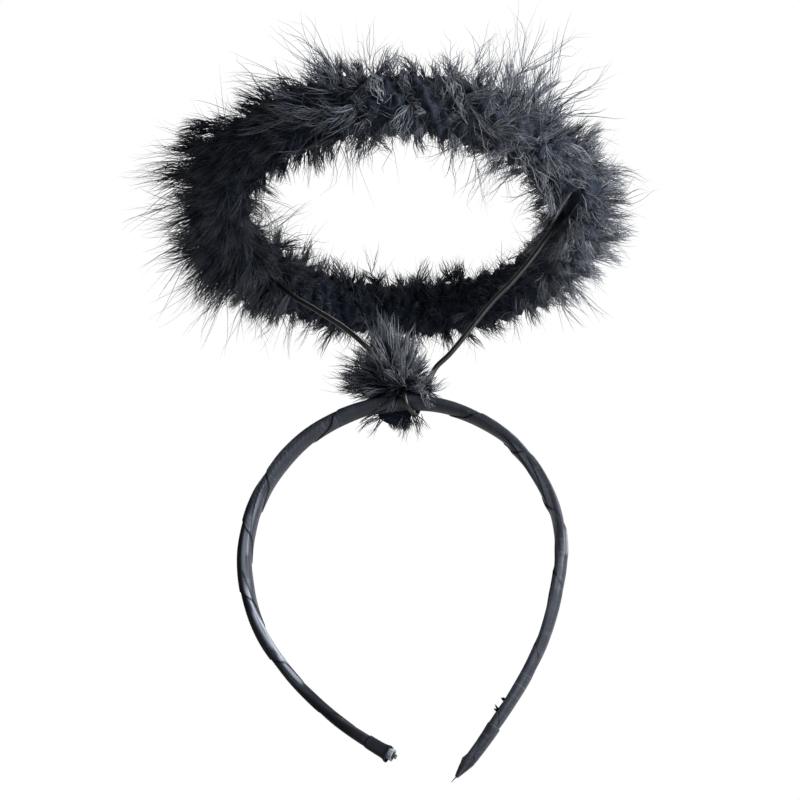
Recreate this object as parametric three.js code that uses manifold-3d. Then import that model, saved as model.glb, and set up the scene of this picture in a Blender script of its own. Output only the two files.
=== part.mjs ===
// Halo headband: a marabou feather ring carried on a V of wire above a ribbon-wound headband.
// Millimetres. +X to the right, +Y to the back, +Z up, worn upright.
// The origin is the middle of the crown's inner face, where the head carries the band.
import * as THREE from 'three';
import { mergeVertices } from 'three/addons/utils/BufferGeometryUtils.js';
import Module from 'manifold-3d';

const wasm = await Module();
wasm.setup();
const radians = THREE.MathUtils.degToRad;

// Clear space between neighbouring pieces
const FIT_GAP = 0.3;

// Headband core: a flat springy strip that narrows towards its two ends
const CORE_THICKNESS = 1.8;
const CORE_CROWN_WIDTH = 9.4;
const CORE_TIP_WIDTH = 4.2;
const TAPER_FROM = 0.35; // share of an arm, from the crown, where it starts to narrow

// Arch of the band's middle line. Each arm is a row of arcs from the crown down:
// how far the arc turns, in degrees, and its radius as a share of the crown's.
const CROWN_RADIUS = 63.1;
const LEFT_ARCS = [
  { turn: 98.4, radius: 1.0 },
  { turn: 29.1, radius: 1.1 },
  { turn: 26.2, radius: 2.11 },
];
const RIGHT_ARCS = [
  { turn: 98.4, radius: 1.0 },
  { turn: 25.3, radius: 1.8 },
  { turn: 3.6, radius: 7.54 },
];

// Satin ribbon, wound in one long spiral, each winding lapped over the one before
const RIBBON_WALL = 0.6;
const RIBBON_STEP = 0.35; // height of a lapped edge
const RIBBON_PITCH = 28.7;
const SEAM_OFFSET = -8; // length from the crown to a seam on the inner face
const STEP_FADE = 12; // length over which the steps flatten out before each end's last turn
const CORE_TIP_SHOWN = 1.2; // bare core past the ribbon at the left end
const WINDING_ROWS = [
  { share: 0, lift: 0 },
  { share: 0.03, lift: 1 },
  { share: 0.35, lift: 0.6 },
  { share: 0.68, lift: 0.25 },
];

// Last turns of the ribbon over its two ends
const END_TURN_WALL = 0.4;
const CUFF_LENGTH = 9;
const CUFF_SETBACK = 2; // ribbon left showing between the cuff and the core's tip
const CUFF_ROWS = [
  { along: 0, flare: 0.5 },
  { along: 0.25, flare: 0.2 },
  { along: 1, flare: 0 },
];
const TAIL_COVER = 14; // length of the last turn over the right arm
const TAIL_REACH = 11.5; // length of its pulled point past the core
const TAIL_ROWS = [
  { along: 0.05, size: 1.06 },
  { along: 0.4, size: 0.74 },
  { along: 0.7, size: 0.42 },
  { along: 0.8, size: 0.14 },
];

// Wire of the V, of the halo's hoop and of the tie
const WIRE_RADIUS = 1.1;
const TIE_START = 1.6; // length from the crown to where the left leg meets the band
const TIE_LEAD = 6.2; // how far the tie creeps along the band in its turn
const TIE_FROM = 140; // degrees round the band's section, from the back edge over the top
const TIE_TO = 452;
const TIE_STEPS = 12;
const HOOK_TURN = 200; // degrees that each end is bent round the hoop
const HOOK_STEPS = 5;
// Bends of each leg from the hoop down: share of the leg, and rise off its straight line as a share of
// the leg's length
const LEFT_LEG_BENDS = [
  { along: 0.1, rise: -0.012 },
  { along: 0.286, rise: -0.008 },
  { along: 0.375, rise: 0.005 },
  { along: 0.633, rise: 0.033 },
  { along: 0.85, rise: 0.022 },
];
const RIGHT_LEG_BENDS = [
  { along: 0.143, rise: -0.004 },
  { along: 0.285, rise: -0.011 },
  { along: 0.419, rise: -0.007 },
  { along: 0.521, rise: 0.005 },
  { along: 0.802, rise: 0.009 },
  { along: 0.88, rise: 0.019 },
  { along: 0.947, rise: 0.006 },
];

// Halo
const HALO_RADIUS = 76;
const HALO_HEIGHT = 85.4; // of the hoop's middle above the crown
const HALO_OFFSET = -1.2; // of the hoop's middle to the side
const HALO_PITCH = 9.6; // degrees that the back of the halo hangs lower
const LEFT_LEG_ANGLE = 155; // degrees round the hoop, from +X towards the back
const RIGHT_LEG_ANGLE = -1;

// Marabou of the halo: a round body with rows of locks, each row at an angle round the body
const BODY_RADIUS = 14;
const LOCK_REACH = 27; // from the hoop to the tip of the longest row's locks
const LOCK_SPACING = 22.5;
const LOCK_HALF_WIDTH = 8.5;
const LOCK_ROWS = [
  { angle: 0, reach: 1 },
  { angle: 72, reach: 1 },
  { angle: 144, reach: 0.75 },
  { angle: 216, reach: 0.7 },
  { angle: 288, reach: 0.95 },
];
// Sections of one lock: share of its reach, and share of its half width
const LOCK_SECTIONS = [
  { along: 0.2, width: 1 },
  { along: 0.72, width: 0.62 },
];
const LOCK_FLATNESS = 0.75; // thickness of a lock as a share of its width
const LOCK_BEND = 0.45; // how far a lock's tip leans over, as a share of its reach
const LOCK_RISE = 0.4; // how much of that lean is upwards rather than along the hoop
// How far the locks stray: place as a share of their spacing, degrees, and reach as a share of its own
const LOCK_STRAY = { place: 0.2, angle: 12, reach: 0.12 };

// Tuft over the tie: a domed body with a fan of locks, and a point of down behind the band
const TUFT_OFFSET = -4;
const TUFT_HALF_LENGTH = 13;
const TUFT_HALF_DEPTH = 9.5;
const TUFT_HALF_HEIGHT = 8;
const TUFT_SEAT = 0.6; // height of the dome's middle above the band, as a share of its half height
const TUFT_REACH = 27;
const TUFT_LOCK_HALF_WIDTH = 4;
const TUFT_FAN = [
  { angle: 4, reach: 0.8 },
  { angle: 34, reach: 0.72 },
  { angle: 62, reach: 0.75 },
  { angle: 86, reach: 0.95 },
  { angle: 106, reach: 1.12 },
  { angle: 126, reach: 1.15 },
  { angle: 146, reach: 1.1 },
  { angle: 166, reach: 1.05 },
  { angle: 182, reach: 0.8 },
];
const TUFT_LAYERS = [-26, 26]; // degrees that each layer of the fan leans to the back
const TUFT_LOCK_BEND = 0.15;
const TUFT_STRAY = { angle: 8, reach: 0.1 };
// Locks that hang behind the band: place as a share of the dome's half length, and length as a share of
// its height above the crown
const TUFT_DROP = [
  { across: -0.55, drop: 1.1 },
  { across: -0.05, drop: 1.55 },
  { across: 0.4, drop: 1.1 },
];

// Worked out from the sizes above
const WRAP_LIFT = FIT_GAP + RIBBON_WALL;
const TURN_LIFT = WRAP_LIFT + FIT_GAP;
const CLEAR_LIFT = WRAP_LIFT + RIBBON_STEP + FIT_GAP;
const MIDDLE_HEIGHT = CORE_THICKNESS / 2 + WRAP_LIFT;
const LEFT_LENGTH = armLength(LEFT_ARCS);
const RIGHT_LENGTH = armLength(RIGHT_ARCS);
const CUFF_EDGE = -LEFT_LENGTH + CORE_TIP_SHOWN + CUFF_SETBACK;
const HOOK_RADIUS = 2 * WIRE_RADIUS + FIT_GAP;

// Sections and facets
const SQUARENESS = 4; // exponent of the band's rounded-rectangle section
const BAND_SIDES = 10;
const INNER_FACE_SHARE = 0.75; // share of the way round the band at the middle of its inner face
const HOOP_SIDES = 6;
const HOOP_SEGMENTS = 56;

/** Length of one arm of the arch. */
function armLength(arcs) {
  return arcs.reduce((sum, arc) => sum + radians(arc.turn) * arc.radius * CROWN_RADIUS, 0);
}

/** Middle line of the band at a signed length from the crown. The last arc runs on past its end. */
function archAt(length) {
  const side = length < 0 ? -1 : 1;
  const arcs = length < 0 ? LEFT_ARCS : RIGHT_ARCS;
  let remaining = Math.abs(length);
  let turned = 0;
  let x = 0;
  let z = MIDDLE_HEIGHT;
  arcs.forEach((arc, index) => {
    const radius = arc.radius * CROWN_RADIUS;
    const limit = index === arcs.length - 1 ? Infinity : radians(arc.turn);
    const turn = Math.min(limit, remaining / radius);
    x += radius * (Math.sin(turned + turn) - Math.sin(turned));
    z += radius * (Math.cos(turned + turn) - Math.cos(turned));
    turned += turn;
    remaining -= turn * radius;
  });
  return { x: side * x, z, turned: side * turned };
}

/** Point beside the band's middle line: `across` to the back, `out` away from the head. */
function bandPoint(length, across, out) {
  const { x, z, turned } = archAt(length);
  return new THREE.Vector3(x + out * Math.sin(turned), across, z + out * Math.cos(turned));
}

/** Half the core's width at a signed length from the crown. */
function coreHalfWidth(length) {
  const share = Math.abs(length) / (length < 0 ? LEFT_LENGTH : RIGHT_LENGTH);
  const taper = THREE.MathUtils.clamp((share - TAPER_FROM) / (1 - TAPER_FROM), 0, 1);
  return THREE.MathUtils.lerp(CORE_CROWN_WIDTH, CORE_TIP_WIDTH, taper) / 2;
}

/** Point of a rounded rectangle at an angle from the back edge over the top. */
function sectionPoint(angle, halfWidth, halfThickness) {
  const rounded = (value) => Math.sign(value) * Math.abs(value) ** (2 / SQUARENESS);
  return { across: halfWidth * rounded(Math.cos(angle)), out: halfThickness * rounded(Math.sin(angle)) };
}

/** Angles of a section's corners, the first one repeated at the end. */
function sectionAngles(sides) {
  return Array.from({ length: sides + 1 }, (_, index) => (index / sides) * 2 * Math.PI);
}

/** Corner of the band's section, `lift` clear of the core's surface and `size` times as large. */
function bandCorner(length, angle, lift, size = 1) {
  const halfThickness = size * (CORE_THICKNESS / 2 + lift);
  const { across, out } = sectionPoint(angle, size * (coreHalfWidth(length) + lift), halfThickness);
  return bandPoint(length, across, out);
}

/** One row of points round the band. */
function bandRow(length, lift, size) {
  return sectionAngles(BAND_SIDES).map((angle) => bandCorner(length, angle, lift, size));
}

/** Row that closes a surface at one point of the band's middle line. */
function bandPole(length) {
  return bandRow(length, 0, 0);
}

/** Evenly spaced values from `from` to `to`, no further apart than `spacing`. */
function spread(from, to, spacing) {
  const steps = Math.ceil(Math.abs(to - from) / spacing);
  return Array.from({ length: steps + 1 }, (_, index) => THREE.MathUtils.lerp(from, to, index / steps));
}

/** Closed surface through rows of points. Points that meet are joined and empty triangles are left out. */
function surface(rows) {
  const positions = rows.flatMap((row) => row.flatMap((point) => point.toArray()));
  const columns = rows[0].length;
  const corners = [];
  for (let row = 0; row + 1 < rows.length; row += 1) {
    for (let column = 0; column + 1 < columns; column += 1) {
      const near = row * columns + column;
      const far = near + columns;
      corners.push(near, near + 1, far + 1, near, far + 1, far);
    }
  }
  const geometry = new THREE.BufferGeometry();
  geometry.setAttribute('position', new THREE.Float32BufferAttribute(positions, 3));
  geometry.setIndex(corners);
  return withoutEmptyTriangles(mergeVertices(geometry));
}

/** The same indexed geometry without the triangles whose corners meet. */
function withoutEmptyTriangles(geometry) {
  const index = geometry.getIndex().array;
  const kept = [];
  for (let corner = 0; corner < index.length; corner += 3) {
    const [a, b, c] = index.slice(corner, corner + 3);
    if (a !== b && b !== c && c !== a) kept.push(a, b, c);
  }
  geometry.setIndex(kept);
  return geometry;
}

/** Solid of a closed geometry, for joining and cutting. */
function solidOf(geometry) {
  const bare = new THREE.BufferGeometry();
  bare.setAttribute('position', geometry.getAttribute('position').clone());
  if (geometry.getIndex()) bare.setIndex(geometry.getIndex().clone());
  const merged = withoutEmptyTriangles(mergeVertices(bare));
  const vertProperties = new Float32Array(merged.getAttribute('position').array);
  const triVerts = new Uint32Array(merged.getIndex().array);
  return new wasm.Manifold(new wasm.Mesh({ numProp: 3, vertProperties, triVerts }));
}

/** Geometry of the largest body of a solid: a wisp that a cut sets free is dropped. */
function geometryOf(solid) {
  const largest = solid.decompose().reduce((best, body) => (body.volume() > best.volume() ? body : best));
  const mesh = largest.getMesh();
  const geometry = new THREE.BufferGeometry();
  geometry.setAttribute('position', new THREE.BufferAttribute(mesh.vertProperties.slice(), mesh.numProp));
  geometry.setIndex(new THREE.BufferAttribute(mesh.triVerts.slice(), 1));
  return geometry;
}

/** Core: a solid strip along the whole arch. */
function bandCore() {
  const lengths = [-LEFT_LENGTH, ...ribbonLengths()];
  const rows = lengths.map((length) => bandRow(length, 0));
  return surface([bandPole(-LEFT_LENGTH), ...rows, bandPole(RIGHT_LENGTH)]);
}

/** Lengths along the arch where the core and the ribbon's inside have their rows. */
function ribbonLengths() {
  const rowSpacing = 11;
  return spread(-LEFT_LENGTH + CORE_TIP_SHOWN, RIGHT_LENGTH, rowSpacing);
}

/** Share of the way round the wound section at each of its corners. */
function roundShares() {
  const corners = bandRow(0, WRAP_LIFT);
  const reached = [0];
  for (let corner = 1; corner < corners.length; corner += 1) {
    reached.push(reached[corner - 1] + corners[corner].distanceTo(corners[corner - 1]));
  }
  return reached.map((value) => value / reached[BAND_SIDES]);
}

/** Share of the full step that a lapped edge has: it flattens out towards the last turn at each end. */
function stepShare(length) {
  const pastCuff = length - (CUFF_EDGE + CUFF_LENGTH);
  const beforeTail = RIGHT_LENGTH - TAIL_COVER - length;
  return THREE.MathUtils.clamp(Math.min(pastCuff, beforeTail) / STEP_FADE, 0, 1);
}

/** Spiral winding: rows that follow the ribbon's lapped edge round the band, trimmed square at both ends. */
function ribbonWrap() {
  const lengths = ribbonLengths();
  const start = lengths[0];
  const shares = roundShares();
  const seamLength = SEAM_OFFSET + INNER_FACE_SHARE * RIBBON_PITCH;
  const first = Math.floor((start - seamLength) / RIBBON_PITCH);
  const last = Math.ceil((RIGHT_LENGTH - seamLength) / RIBBON_PITCH) + 1;
  const outer = [];
  for (let winding = first; winding <= last; winding += 1) {
    for (const { share, lift } of WINDING_ROWS) {
      const rowLength = seamLength + (winding + share) * RIBBON_PITCH;
      outer.push(sectionAngles(BAND_SIDES).map((angle, corner) => {
        const length = THREE.MathUtils.clamp(rowLength - shares[corner] * RIBBON_PITCH, start, RIGHT_LENGTH);
        return bandCorner(length, angle, WRAP_LIFT + stepShare(length) * lift * RIBBON_STEP);
      }));
    }
  }
  const inner = lengths.reverse().map((length) => bandRow(length, FIT_GAP));
  return surface([...outer, ...inner, outer[0]]);
}

/** Plain last turn at the left end, flared at its edge. */
function ribbonCuffLeft() {
  const row = ({ along, flare }, lift) => bandRow(CUFF_EDGE + CUFF_LENGTH * along, lift + flare);
  const outer = CUFF_ROWS.map((entry) => row(entry, TURN_LIFT + END_TURN_WALL));
  const inner = CUFF_ROWS.map((entry) => row(entry, TURN_LIFT)).reverse();
  return surface([...outer, ...inner, outer[0]]);
}

/** Last turn at the right end, pulled to a point past the core. */
function ribbonTailRight() {
  const mouth = RIGHT_LENGTH - TAIL_COVER;
  const middle = RIGHT_LENGTH - TAIL_COVER / 2;
  const outerLift = TURN_LIFT + END_TURN_WALL;
  const outer = [
    bandRow(mouth, outerLift),
    bandRow(middle, outerLift),
    ...TAIL_ROWS.map(({ along, size }) => bandRow(RIGHT_LENGTH + along * TAIL_REACH, outerLift, size)),
    bandPole(RIGHT_LENGTH + TAIL_REACH),
  ];
  const inner = [
    bandPole(RIGHT_LENGTH + FIT_GAP),
    bandRow(RIGHT_LENGTH + FIT_GAP, TURN_LIFT),
    bandRow(middle, TURN_LIFT),
    bandRow(mouth, TURN_LIFT),
  ];
  return surface([...outer, ...inner, outer[0]]);
}

/** Hoop frame at an angle from +X towards the back: a point of the hoop and its three directions. */
function hoopFrame(degrees) {
  const angle = radians(degrees);
  const pitch = radians(HALO_PITCH);
  const backward = new THREE.Vector3(0, Math.cos(pitch), -Math.sin(pitch));
  const outward = new THREE.Vector3(Math.cos(angle), 0, 0).addScaledVector(backward, Math.sin(angle));
  const along = new THREE.Vector3(-Math.sin(angle), 0, 0).addScaledVector(backward, Math.cos(angle));
  const upward = new THREE.Vector3(0, Math.sin(pitch), Math.cos(pitch));
  const centre = new THREE.Vector3(HALO_OFFSET, 0, HALO_HEIGHT).addScaledVector(outward, HALO_RADIUS);
  return { centre, outward, along, upward };
}

/** Points of the hook that a leg's end makes over the hoop and round its outside. */
function hookPoints(degrees, towards, extraTurn) {
  const { centre, along } = hoopFrame(degrees);
  const legward = towards.clone().sub(centre).projectOnPlane(along).normalize();
  const sideways = new THREE.Vector3().crossVectors(along, legward);
  return Array.from({ length: HOOK_STEPS + 1 }, (_, step) => {
    const angle = radians(90 + ((HOOK_TURN + extraTurn) * step) / HOOK_STEPS);
    return centre.clone()
      .addScaledVector(legward, HOOK_RADIUS * Math.cos(angle))
      .addScaledVector(sideways, HOOK_RADIUS * Math.sin(angle));
  });
}

/** Points of one leg's bends between its hook and its foot on the band. */
function legPoints(hook, foot, bends) {
  const straight = foot.clone().sub(hook);
  const rise = new THREE.Vector3(0, 0, 1).projectOnPlane(straight.clone().normalize()).normalize();
  return bends.map((bend) => hook.clone()
    .addScaledVector(straight, bend.along)
    .addScaledVector(rise, bend.rise * straight.length()));
}

/** Points of the tie's one turn round the wound band. */
function tiePoints() {
  return Array.from({ length: TIE_STEPS + 1 }, (_, step) => {
    const share = step / TIE_STEPS;
    const angle = radians(THREE.MathUtils.lerp(TIE_FROM, TIE_TO, share));
    return bandCorner(TIE_START + share * TIE_LEAD, angle, CLEAR_LIFT + WIRE_RADIUS);
  });
}

/** Route of the one wire: left hook, left leg, tie, right leg, right hook. */
function stemRoute(extraTurn = 0) {
  const tie = tiePoints();
  const leftFoot = tie[0];
  const rightFoot = tie[tie.length - 1];
  const leftHook = hookPoints(LEFT_LEG_ANGLE, leftFoot, extraTurn);
  const rightHook = hookPoints(RIGHT_LEG_ANGLE, rightFoot, extraTurn);
  return new THREE.CatmullRomCurve3([
    ...[...leftHook].reverse(),
    ...legPoints(leftHook[0], leftFoot, LEFT_LEG_BENDS),
    ...tie,
    ...legPoints(rightHook[0], rightFoot, RIGHT_LEG_BENDS).reverse(),
    ...rightHook,
  ], false, 'centripetal');
}

/** Round tube along a curve, with an equal number of rows between each two of its points. */
function tubeAlong(curve, radius) {
  const sides = 8;
  const rowsPerPoint = 2;
  const steps = rowsPerPoint * (curve.points.length - 1);
  const across = new THREE.Vector3(0, 1, 0);
  const rows = [];
  for (let step = 0; step <= steps; step += 1) {
    const centre = curve.getPoint(step / steps);
    const tangent = curve.getTangent(step / steps);
    across.projectOnPlane(tangent).normalize();
    const upward = new THREE.Vector3().crossVectors(tangent, across);
    rows.push(sectionAngles(sides).map((angle) => centre.clone()
      .addScaledVector(across, radius * Math.cos(angle))
      .addScaledVector(upward, radius * Math.sin(angle))));
  }
  const pole = (centre) => sectionAngles(sides).map(() => centre);
  return surface([pole(curve.getPoint(0)), ...rows, pole(curve.getPoint(1))]);
}

/** Stem wire, or the clear space that it needs where it runs through down. */
function stemWire(clearance = 0) {
  const extraTurn = THREE.MathUtils.radToDeg(clearance / HOOK_RADIUS);
  return tubeAlong(stemRoute(extraTurn), WIRE_RADIUS + clearance);
}

/** Ring round the hoop's line, in the halo's own plane. */
function hoopRing(radius, sides, segments) {
  const ring = new THREE.TorusGeometry(HALO_RADIUS, radius, sides, segments);
  ring.rotateX(-radians(HALO_PITCH));
  ring.translate(HALO_OFFSET, 0, HALO_HEIGHT);
  return ring;
}

/** Lock of down: a flattened horn that leaves its root along `out`, its tip bent over towards `lean`. */
function lock({ root, out, lean, reach, halfWidth, bend }) {
  const sides = 4;
  const side = new THREE.Vector3().crossVectors(out, lean).normalize();
  const flat = new THREE.Vector3().crossVectors(out, side).normalize();
  const spine = (along) => root.clone()
    .addScaledVector(out, reach * along)
    .addScaledVector(lean, reach * bend * along ** 2);
  const pole = (along) => sectionAngles(sides).map(() => spine(along));
  const rows = LOCK_SECTIONS.map(({ along, width }) => sectionAngles(sides).map((angle) => spine(along)
    .addScaledVector(side, halfWidth * width * Math.cos(angle))
    .addScaledVector(flat, halfWidth * width * LOCK_FLATNESS * Math.sin(angle))));
  return solidOf(surface([pole(LOCK_SECTIONS[0].along), ...rows, pole(1)]));
}

/** Uneven but repeatable value between -1 and 1 for a lock's number. */
function sway(number, seed) {
  return Math.sin(number * 2.399 + seed * 1.7) * Math.cos(number * 0.73 + seed);
}

/** Marabou of the halo: body and locks in one, with a channel for the hoop and for the legs' hooks. */
function haloMarabou() {
  const bodySides = 8;
  const bodySegments = 44;
  const rowLocks = Math.round((2 * Math.PI * HALO_RADIUS) / LOCK_SPACING);
  const haloLock = { halfWidth: LOCK_HALF_WIDTH, bend: LOCK_BEND };
  const solids = [solidOf(hoopRing(BODY_RADIUS, bodySides, bodySegments))];
  LOCK_ROWS.forEach((row, rowNumber) => {
    for (let number = 0; number < rowLocks; number += 1) {
      const stagger = (rowNumber % 2) / 2;
      const place = number + stagger + LOCK_STRAY.place * sway(number, rowNumber);
      const frame = hoopFrame((360 * place) / rowLocks);
      const angle = radians(row.angle + LOCK_STRAY.angle * sway(number, rowNumber + 3));
      const out = frame.outward.clone().multiplyScalar(Math.cos(angle))
        .addScaledVector(frame.upward, Math.sin(angle));
      const lean = frame.along.clone().multiplyScalar(sway(number, rowNumber + 6) < 0 ? -1 : 1)
        .addScaledVector(frame.upward, LOCK_RISE)
        .projectOnPlane(out).normalize();
      const reach = LOCK_REACH * row.reach * (1 + LOCK_STRAY.reach * sway(number, rowNumber + 9));
      solids.push(lock({ ...haloLock, root: frame.centre, out, lean, reach }));
    }
  });
  const channel = solidOf(hoopRing(WIRE_RADIUS + FIT_GAP, HOOP_SIDES, HOOP_SEGMENTS));
  const legs = solidOf(stemWire(FIT_GAP));
  return geometryOf(wasm.Manifold.union(solids).subtract(channel).subtract(legs));
}

/** Clear space of the wound band under the tuft. */
function bandSpace() {
  const rowSpacing = 4;
  const reach = TUFT_HALF_LENGTH + TUFT_REACH;
  const rows = spread(-reach, reach, rowSpacing).map((length) => bandRow(length, CLEAR_LIFT));
  return solidOf(surface([bandPole(-reach), ...rows, bandPole(reach)]));
}

/** Tuft over the tie, cut clear of the band and the wire. */
function tuft() {
  const domeSides = 12;
  const domeRings = 8;
  const dome = new THREE.SphereGeometry(1, domeSides, domeRings);
  const domeHeight = 2 * MIDDLE_HEIGHT + TUFT_SEAT * TUFT_HALF_HEIGHT;
  dome.scale(TUFT_HALF_LENGTH, TUFT_HALF_DEPTH, TUFT_HALF_HEIGHT);
  dome.translate(TUFT_OFFSET, 0, domeHeight);
  const heart = new THREE.Vector3(TUFT_OFFSET, 0, domeHeight);
  const tuftLock = { halfWidth: TUFT_LOCK_HALF_WIDTH, bend: TUFT_LOCK_BEND };
  const leftAndUp = new THREE.Vector3(-1, 0, 0.5);
  const solids = [solidOf(dome)];
  TUFT_LAYERS.forEach((layer, layerNumber) => {
    TUFT_FAN.forEach((entry, number) => {
      const fan = radians(entry.angle + TUFT_STRAY.angle * sway(number, layerNumber));
      const tilt = radians(layer);
      const out = new THREE.Vector3(
        Math.cos(fan) * Math.cos(tilt),
        Math.sin(tilt),
        Math.sin(fan) * Math.cos(tilt),
      );
      const lean = leftAndUp.clone().projectOnPlane(out).normalize();
      const reach = TUFT_REACH * entry.reach * (1 + TUFT_STRAY.reach * sway(number, layerNumber + 4));
      solids.push(lock({ ...tuftLock, root: heart, out, lean, reach }));
    });
  });
  const behind = CORE_CROWN_WIDTH / 2 + CLEAR_LIFT + TUFT_LOCK_HALF_WIDTH / 3;
  TUFT_DROP.forEach(({ across, drop }) => {
    const offset = new THREE.Vector3(across * TUFT_HALF_LENGTH, behind, -TUFT_HALF_HEIGHT / 3);
    const root = heart.clone().add(offset);
    const out = new THREE.Vector3(0, 0, -1);
    const lean = new THREE.Vector3(-Math.sign(across), 0, 0);
    solids.push(lock({ ...tuftLock, root, out, lean, reach: drop * domeHeight }));
  });
  const joined = wasm.Manifold.union(solids);
  return geometryOf(joined.subtract(bandSpace()).subtract(solidOf(stemWire(FIT_GAP))));
}

const plastic = new THREE.MeshStandardMaterial({ color: '#17171a', roughness: 0.4, metalness: 0 });
const satin = new THREE.MeshStandardMaterial({ color: '#3b3f48', roughness: 0.38, metalness: 0 });
const wire = new THREE.MeshStandardMaterial({ color: '#22221f', roughness: 0.5, metalness: 0.2 });
const down = new THREE.MeshStandardMaterial({ color: '#12161d', roughness: 0.9, metalness: 0 });

/** Named mesh of one piece. */
function piece(name, geometry, material) {
  geometry.computeVertexNormals();
  const mesh = new THREE.Mesh(geometry, material);
  mesh.name = name;
  return mesh;
}

const headband = new THREE.Group();
headband.add(
  piece('band_core', bandCore(), plastic),
  piece('ribbon_wrap', ribbonWrap(), satin),
  piece('ribbon_cuff_left', ribbonCuffLeft(), satin),
  piece('ribbon_tail_right', ribbonTailRight(), satin),
  piece('stem_wire', stemWire(), wire),
  piece('tuft', tuft(), down),
);

const halo = new THREE.Group();
halo.add(
  piece('halo_ring_wire', hoopRing(WIRE_RADIUS, HOOP_SIDES, HOOP_SEGMENTS), wire),
  piece('halo_marabou', haloMarabou(), down),
);

const haloHeadband = new THREE.Group();
haloHeadband.add(headband, halo);
export default haloHeadband;
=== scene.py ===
"""Halo headband: a marabou feather ring on a V of black wire above a satin-wound hairband.

Lengths are millimetres until a mesh is made. +X is to the right, +Y to the back and +Z up, as worn.
The origin is the middle of the crown's inner face, where the head carries the band.
"""

import logging
import math
from dataclasses import dataclass
from enum import Enum

import bpy
import numpy as np
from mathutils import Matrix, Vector


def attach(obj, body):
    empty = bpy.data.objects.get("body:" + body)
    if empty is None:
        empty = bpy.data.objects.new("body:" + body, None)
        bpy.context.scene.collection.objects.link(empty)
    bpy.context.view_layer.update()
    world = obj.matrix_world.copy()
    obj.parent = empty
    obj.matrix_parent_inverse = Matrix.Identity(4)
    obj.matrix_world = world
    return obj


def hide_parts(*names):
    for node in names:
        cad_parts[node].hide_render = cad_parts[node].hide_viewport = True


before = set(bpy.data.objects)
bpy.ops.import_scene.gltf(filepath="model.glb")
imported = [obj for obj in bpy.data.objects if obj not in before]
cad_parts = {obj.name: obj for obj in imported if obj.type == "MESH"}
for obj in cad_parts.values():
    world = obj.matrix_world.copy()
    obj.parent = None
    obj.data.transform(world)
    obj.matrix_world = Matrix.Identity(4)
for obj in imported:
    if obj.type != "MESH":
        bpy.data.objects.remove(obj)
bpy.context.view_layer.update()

MM = 0.001
BODY = "root"
FIT_GAP = 0.3  # clear space between neighbouring pieces

# A Mix node's sockets have the same names for values and colours, so they go by number
SHARE, FROM_VALUE, TO_VALUE, FROM_COLOUR, TO_COLOUR = 0, 2, 3, 6, 7
MIXED_VALUE, MIXED_COLOUR = 0, 2

log = logging.getLogger("halo_headband")


class Slot(Enum):
    """Material slots of the record."""

    PLASTIC = "core_plastic"
    RIBBON = "satin_ribbon"
    WIRE = "black_wire"
    DOWN = "marabou_down"


def linear(colour: str) -> tuple[float, float, float, float]:
    """Turns an sRGB hex colour into linear RGBA.

    Args:
        colour: six hex digits after a hash sign.

    Returns:
        Red, green, blue and an alpha of 1, each from 0 to 1.
    """
    channels = [int(colour[place:place + 2], 16) / 255 for place in (1, 3, 5)]
    return (*[c / 12.92 if c <= 0.04045 else ((c + 0.055) / 1.055) ** 2.4 for c in channels], 1.0)


def add_node(tree: bpy.types.NodeTree, kind: str, inputs: dict | None = None, **settings) -> bpy.types.Node:
    """Adds one shader node with its settings, values and links.

    Args:
        tree: node tree that gets the node.
        kind: the node's type without its ShaderNode prefix.
        inputs: a value, or an output socket to link, for each input's name or number.
        settings: the node's own properties.

    Returns:
        The new node.
    """
    node = tree.nodes.new("ShaderNode" + kind)
    for key, value in settings.items():
        setattr(node, key, value)
    for key, value in (inputs or {}).items():
        if isinstance(value, bpy.types.NodeSocket):
            tree.links.new(value, node.inputs[key])
        else:
            node.inputs[key].default_value = value
    return node


def new_material(name: str) -> tuple[bpy.types.Material, bpy.types.NodeTree]:
    """Makes an empty node material.

    Args:
        name: the material's name.

    Returns:
        The material and its node tree.
    """
    material = bpy.data.materials.new(name)
    material.use_nodes = True
    material.node_tree.nodes.clear()
    return material, material.node_tree


def unit(vectors: np.ndarray) -> np.ndarray:
    """Scales each vector of an array to a length of 1."""
    return vectors / np.maximum(np.linalg.norm(vectors, axis=-1, keepdims=True), 1e-9)


def across(vectors: np.ndarray, axis: np.ndarray) -> np.ndarray:
    """The part of each vector that lies across an axis of length 1, scaled to a length of 1."""
    return unit(vectors - np.sum(vectors * axis, -1, keepdims=True) * axis)


def sideways(rng: np.random.Generator, out: np.ndarray) -> np.ndarray:
    """Random ways across the given ones."""
    return across(rng.normal(size=out.shape), out)


def squared(wave: np.ndarray, squareness: float) -> np.ndarray:
    """A sine or cosine to the power of two over the squareness, with its sign kept."""
    return np.sign(wave) * np.abs(wave) ** (2 / squareness)


def smooth(values: np.ndarray, low: float, high: float) -> np.ndarray:
    """Eased rise from 0 at `low` to 1 at `high`: 3s squared minus 2s cubed of the share s between them."""
    share = np.clip((values - low) / (high - low), 0, 1)
    return share * share * (3 - 2 * share)


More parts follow.
